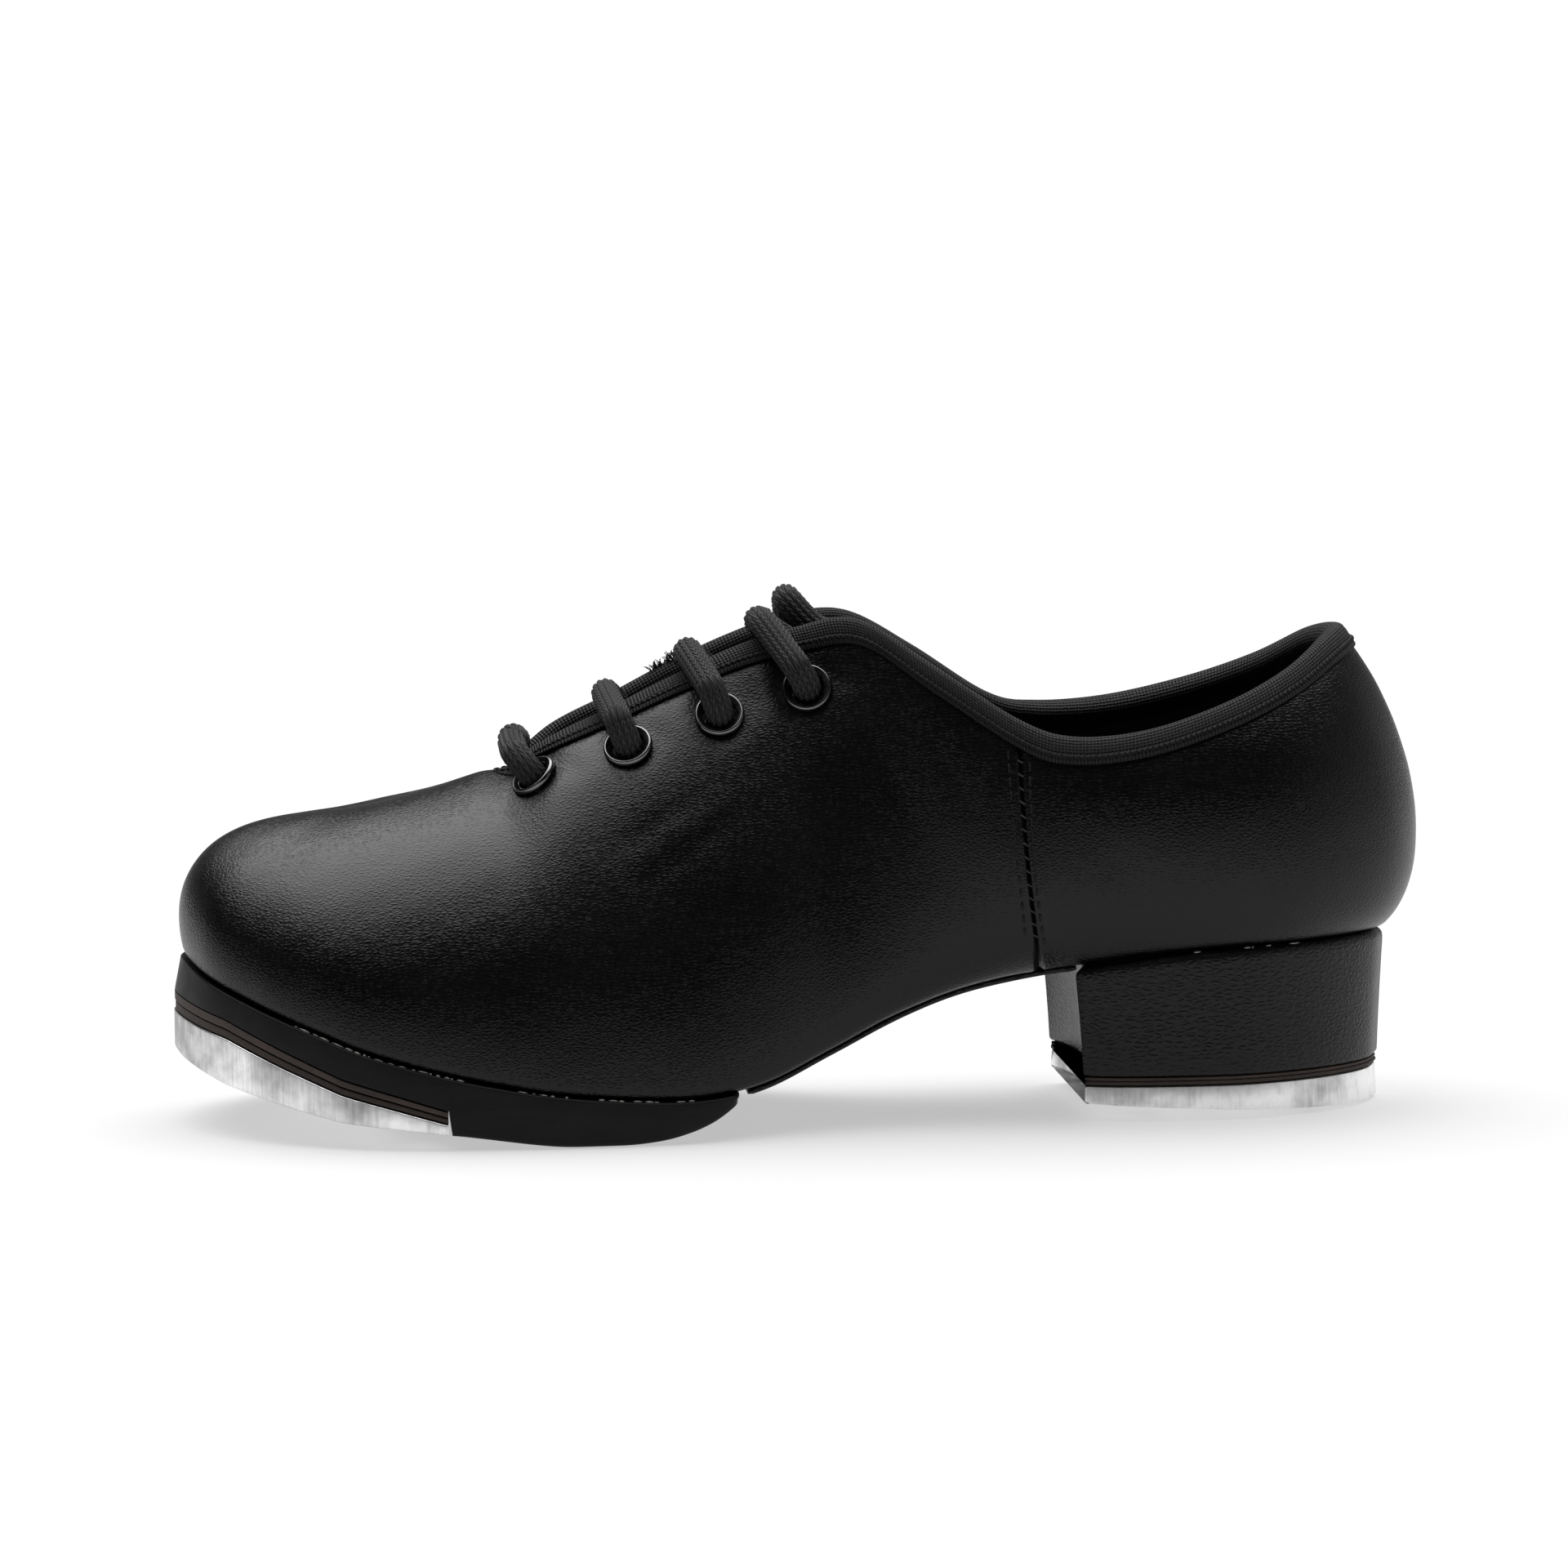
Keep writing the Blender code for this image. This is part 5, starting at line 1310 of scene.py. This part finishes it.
def heel_loop(out, spacing=0.08):
    """The heel's outline, moved outwards: lateral side, back, medial side, and the hollow breast."""
    half = np.array([(*p, 0) for p in HEEL_HALF_OUTLINE])
    side = smooth_line(half, np.arange(0, len(half) - 1 + spacing / 2, spacing))[:, :2]
    front_x, front_y = HEEL_HALF_OUTLINE[0]
    y = front_y * np.linspace(1, -1, 26)[1:-1]
    breast = np.stack([front_x + HEEL_BREAST_HOLLOW * (1 - (y / front_y) ** 2), y], axis=1)
    loop = np.concatenate([side * (1, -1), side[-2::-1], breast])
    along = np.roll(loop, -1, axis=0) - np.roll(loop, 1, axis=0)
    normal = np.stack([along[:, 1], -along[:, 0]], axis=1)
    normal /= np.linalg.norm(normal, axis=1, keepdims=True)
    corners = np.zeros(len(loop))
    corners[[0, 2 * len(side) - 2]] = 1
    return loop + normal * (out * (1 + 0.35 * corners))[:, None]


def heel_rings(levels):
    """Loops of the heel at different heights; a level is how far out, and the height as a function of x."""
    rings = []
    for out, height in levels:
        loop = heel_loop(out)
        rings.append([(x, y, height(x)) for x, y in loop])
    return rings


def heel_seat(x):
    return float(seam_z(x)) - 0.3


def heel_cover_levels(inwards):
    """Up the heel from its foot, drawn in at the foot and rolled over at the seat."""
    levels = []
    for share, out in ((0.0, -0.35), (0.012, -0.1), (0.03, 0.0), (0.25, 0.2), (0.5, 0.5), (0.75, 0.85),
                       (0.88, 1.05), (0.93, 1.1), (0.96, 0.95), (0.985, 0.5), (1.0, -0.1)):
        def height(x, share=share):
            return HEEL_FOOT_Z + (heel_seat(x) - HEEL_FOOT_Z) * share
        levels.append((out - inwards, height))
    return levels


def make_heel():
    outside, inside = heel_cover_levels(0.0), heel_cover_levels(0.75)
    inside[-1] = (-1.2, inside[-1][1])
    rings = heel_rings(outside + inside[::-1])
    cover = loft("heel_leather_cover", [rings], HEEL_LEATHER, closed=True, angle=40)
    shown(cover, "shoe", "upper_leather", "heel_cover")
    middle = sum(HEEL_BOARD_Z) / 2
    layers = (("heel_board_lower_layer", HEEL_BOARD_Z[0], middle - 0.04, -0.25, BOARD, ("heel_board",)),
              ("heel_board_upper_layer", middle + 0.04, HEEL_BOARD_Z[1], -0.4, PALE_BOARD, ()))
    for name, low, high, out, mat, nodes in layers:
        levels = [(out - 0.15, low), (out, low + 0.12), (out, high - 0.12), (out - 0.15, high)]
        rings = heel_rings([(o, lambda x, z=z: z) for o, z in levels])
        shown(loft(name, [rings], mat, angle=35), "shoe", "leatherboard", *nodes)
    front, back = HEEL_HALF_OUTLINE[0][0], HEEL_HALF_OUTLINE[-1][0]

    def foot(lift):
        return lambda x: float(np.interp(x, (front, back), HEEL_TAP_FOOT_Z)) + lift

    levels = [(-0.75, foot(0.0)), (-0.45, foot(0.08)), (-0.25, foot(0.35)), (-0.2, foot(0.7)),
              (-0.5, lambda x: HEEL_TAP_TOP_Z - 0.5), (-0.55, lambda x: HEEL_TAP_TOP_Z - 0.2),
              (-0.8, lambda x: HEEL_TAP_TOP_Z)]
    tap = loft("heel_tap_plate", [heel_rings(levels)], ALUMINIUM, angle=35)
    slope = (HEEL_TAP_FOOT_Z[1] - HEEL_TAP_FOOT_Z[0]) / (back - front)
    rooms = []
    for number, (x, y) in enumerate(HEEL_SCREWS, 1):
        made, axis = screw(f"heel_screw_{number}", x, y, foot(0.0)(x), slope)
        shown(made, "shoe", "steel", f"heel_tap_screw_{number}")
        rooms.append(screw_room(f"heel_{number}", x, y, foot(0.0)(x), axis))
        cut(tap, rooms[-1])
    settle(tap, *rooms)
    shown(tap, "shoe", "tap_aluminium", "heel_tap")


def bottom_board(name, first, last, inset, heights, mat, slot, node, bends, radius):
    """A thin board that follows the sole seam's height, inset from the seam, between two x values."""
    start, end = station_of_seam_x(first), station_of_seam_x(last)
    stations = [start, *np.arange(math.ceil(start + 0.3), end - 0.3, 1.0), end]
    low, high = heights
    rings = []
    for k, station in enumerate(stations):
        tuck = 0.25 if k in (0, len(stations) - 1) else 0.0
        levels = (lambda x: float(seam_z(x)) + high - tuck, lambda x: float(seam_z(x)) + low + tuck)
        rings.append(section(station, (-inset - tuck,) * 2, levels, (radius, radius)))
    piece = loft(name, [rings], mat, angle=40)
    shown(piece, "shoe", slot, node, bends=bends)


def make_bottom():
    boards = (
        ("insole_leatherboard", -118.5, 114.0, 4.8, INSOLE, BOARD, "leatherboard", "insole_board", True, 0.3),
        ("sock_lining", -117.5, 113.0, 5.6, SOCK, SOCK_CLOTH, "lining_fabric", "sock_liner", True, 0.3),
        ("cork_filling", -106.0, -14.0, 13.5, FILLER, CORK, "filler_cork", "bottom_filler", True, 1.0),
        ("waist_leather", -12.5, 52.5, 2.5, WAIST_COVER, HEEL_LEATHER, "upper_leather", "waist_cover",
         False, 0.5),
    )
    for board in boards:
        bottom_board(*board)


def make_cement():
    """Dried cement that shows here and there in the grooves under the upper."""
    draw = np.random.default_rng(11)
    beads = {"sole": [], "heel": []}
    stretches = (("sole", -102.0, -70.0, 0.75, -0.1), ("sole", -62.0, -24.0, 0.55, -0.1),
                 ("heel", 76.0, 96.0, 0.4, -0.2))
    for key, first, last, density, lift in stretches:
        x = first
        while x < last:
            length = draw.uniform(0.4, 2.2)
            if draw.random() < density:
                ends = np.linspace(station_of_seam_x(x), station_of_seam_x(x + length), 6)
                line = np.array([seam_pair(s, 0.32)[0] for s in ends])
                line[:, 2] = seam_z(line[:, 0]) + lift + draw.uniform(-0.06, 0.06)
                swell = np.sin(np.linspace(0.25, math.pi - 0.25, 6))
                beads[key].append(tube_rings(line, draw.uniform(0.12, 0.26) * swell, 6))
            x += length + draw.uniform(0.1, 0.9)
    shown(loft("sole_cement_beads", beads["sole"], GLUE), None, "sole", bends=True)
    shown(loft("heel_cement_beads", beads["heel"], GLUE), "shoe", "sole")


def finish_cad_nodes():
    """Procedural finishes for the hidden CAD pieces that stay as they are."""
    finishes = {"shank": STEEL, "heel_block": WOOD}
    finishes.update({f"heel_nail_{n}": STEEL for n in range(1, 5)})
    for node, mat in finishes.items():
        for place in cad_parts[node].material_slots:
            place.material = mat


# ---------------------------------------------------------------- the studio

def make_floor():
    """A pale floor that reaches beyond the view."""
    work = bmesh.new()
    bmesh.ops.create_grid(work, x_segments=8, y_segments=8, size=FLOOR_SIZE)
    mesh = bpy.data.meshes.new("studio_floor")
    work.to_mesh(mesh)
    work.free()
    mat = new_material("pale_floor", (0.32, 0.32, 0.32), 0.6, Specular_IOR_Level=0.1, Emission_Strength=0.5,
                       Emission_Color=(1.0, 1.0, 1.0, 1.0))
    mesh.materials.append(mat)
    floor = placed("studio_floor", mesh)
    floor.location.z = -FLOOR_DROP


def window(mat, value, low, high, soft):
    """One inside a range, falling softly to nothing outside it."""
    sides = []
    for edge, way in ((low, 1), (high, -1)):
        inputs = {"Value": value, "From Min": edge - way * soft, "From Max": edge + way * soft}
        sides.append(add(mat, "MapRange", inputs, interpolation_type="SMOOTHSTEP").outputs["Result"])
    return maths(mat, "MULTIPLY", *sides)


def make_world():
    """A dim white room: a wide soft light overhead, a weak one on the right, and a wall behind the shoe."""
    world = bpy.data.worlds.new("studio")
    bpy.context.scene.world = world
    world.use_nodes = True
    room = world.node_tree.nodes["Background"]
    room.inputs["Color"].default_value = (1.0, 1.0, 1.0, 1.0)
    way = add(world, "SeparateXYZ", {0: add(world, "TexCoord", {}).outputs["Generated"]}).outputs
    height = maths(world, "MAXIMUM", way["Z"], 0.05)
    across, ahead = (maths(world, "DIVIDE", way[axis], height) for axis in ("X", "Y"))
    sides = window(world, across, *OVERHEAD_ACROSS), window(world, ahead, *OVERHEAD_AHEAD)
    overhead = maths(world, "MULTIPLY", *sides)
    sides = window(world, way["X"], 0.75, 1.2, 0.15), window(world, way["Z"], 0.0, 0.5, 0.1)
    right = maths(world, "MULTIPLY", *sides)
    wall = maths(world, "MULTIPLY", between(world, way["Y"], 0.0, 0.6, 0.0, 1.0),
                 between(world, way["Z"], 0.35, 0.08, 0.0, 1.0))
    level = total(world, (overhead, OVERHEAD_LIGHT), (ROOM_LIGHT, 1.0), (right, RIGHT_LIGHT),
                  (wall, WALL_LIGHT))
    world.node_tree.links.new(level, room.inputs["Strength"])
    white = add(world, "Background", {"Color": (1, 1, 1, 1), "Strength": 1.1}).outputs[0]
    path = add(world, "LightPath", {}).outputs["Is Camera Ray"]
    mix = add(world, "MixShader", {0: path, 1: room.outputs[0], 2: white}).outputs[0]
    world.node_tree.links.new(mix, world.node_tree.nodes["World Output"].inputs["Surface"])


def make_camera():
    """On the outer side, a little above the shoe and a little towards its toe."""
    raised, turned_by, roll = (math.radians(angle) for angle in CAMERA_ANGLES)
    ahead = Vector((math.sin(turned_by) * math.cos(raised), math.cos(turned_by) * math.cos(raised),
                    -math.sin(raised)))
    right = Vector((math.cos(turned_by), -math.sin(turned_by), 0.0))
    top = right.cross(ahead)
    right2 = right * math.cos(roll) + top * math.sin(roll)
    top2 = right2.cross(ahead)
    camera = bpy.data.cameras.new("camera")
    camera.sensor_width = 36.0
    camera.lens = CAMERA_LENS
    obj = placed("camera", camera)
    obj.matrix_world = make_matrix(right2, top2, -ahead, Vector(CAMERA_TARGET) - ahead * CAMERA_DISTANCE)
    bpy.context.scene.camera = obj


def make_matrix(x, y, z, place):
    return Matrix(((x[0], y[0], z[0], place[0]), (x[1], y[1], z[1], place[1]), (x[2], y[2], z[2], place[2]),
                   (0, 0, 0, 1)))


make_camera()
make_world()
make_floor()

make_upper()
make_binding()
make_frayed_end()
make_tongue()
make_seam_stitches()
make_throat_stitches()
make_eyelets()
make_lace()
make_outsole()
make_toe_tap()
make_heel()
make_bottom()
make_cement()
finish_cad_nodes()

bpy.context.scene.view_settings.view_transform = "Standard"
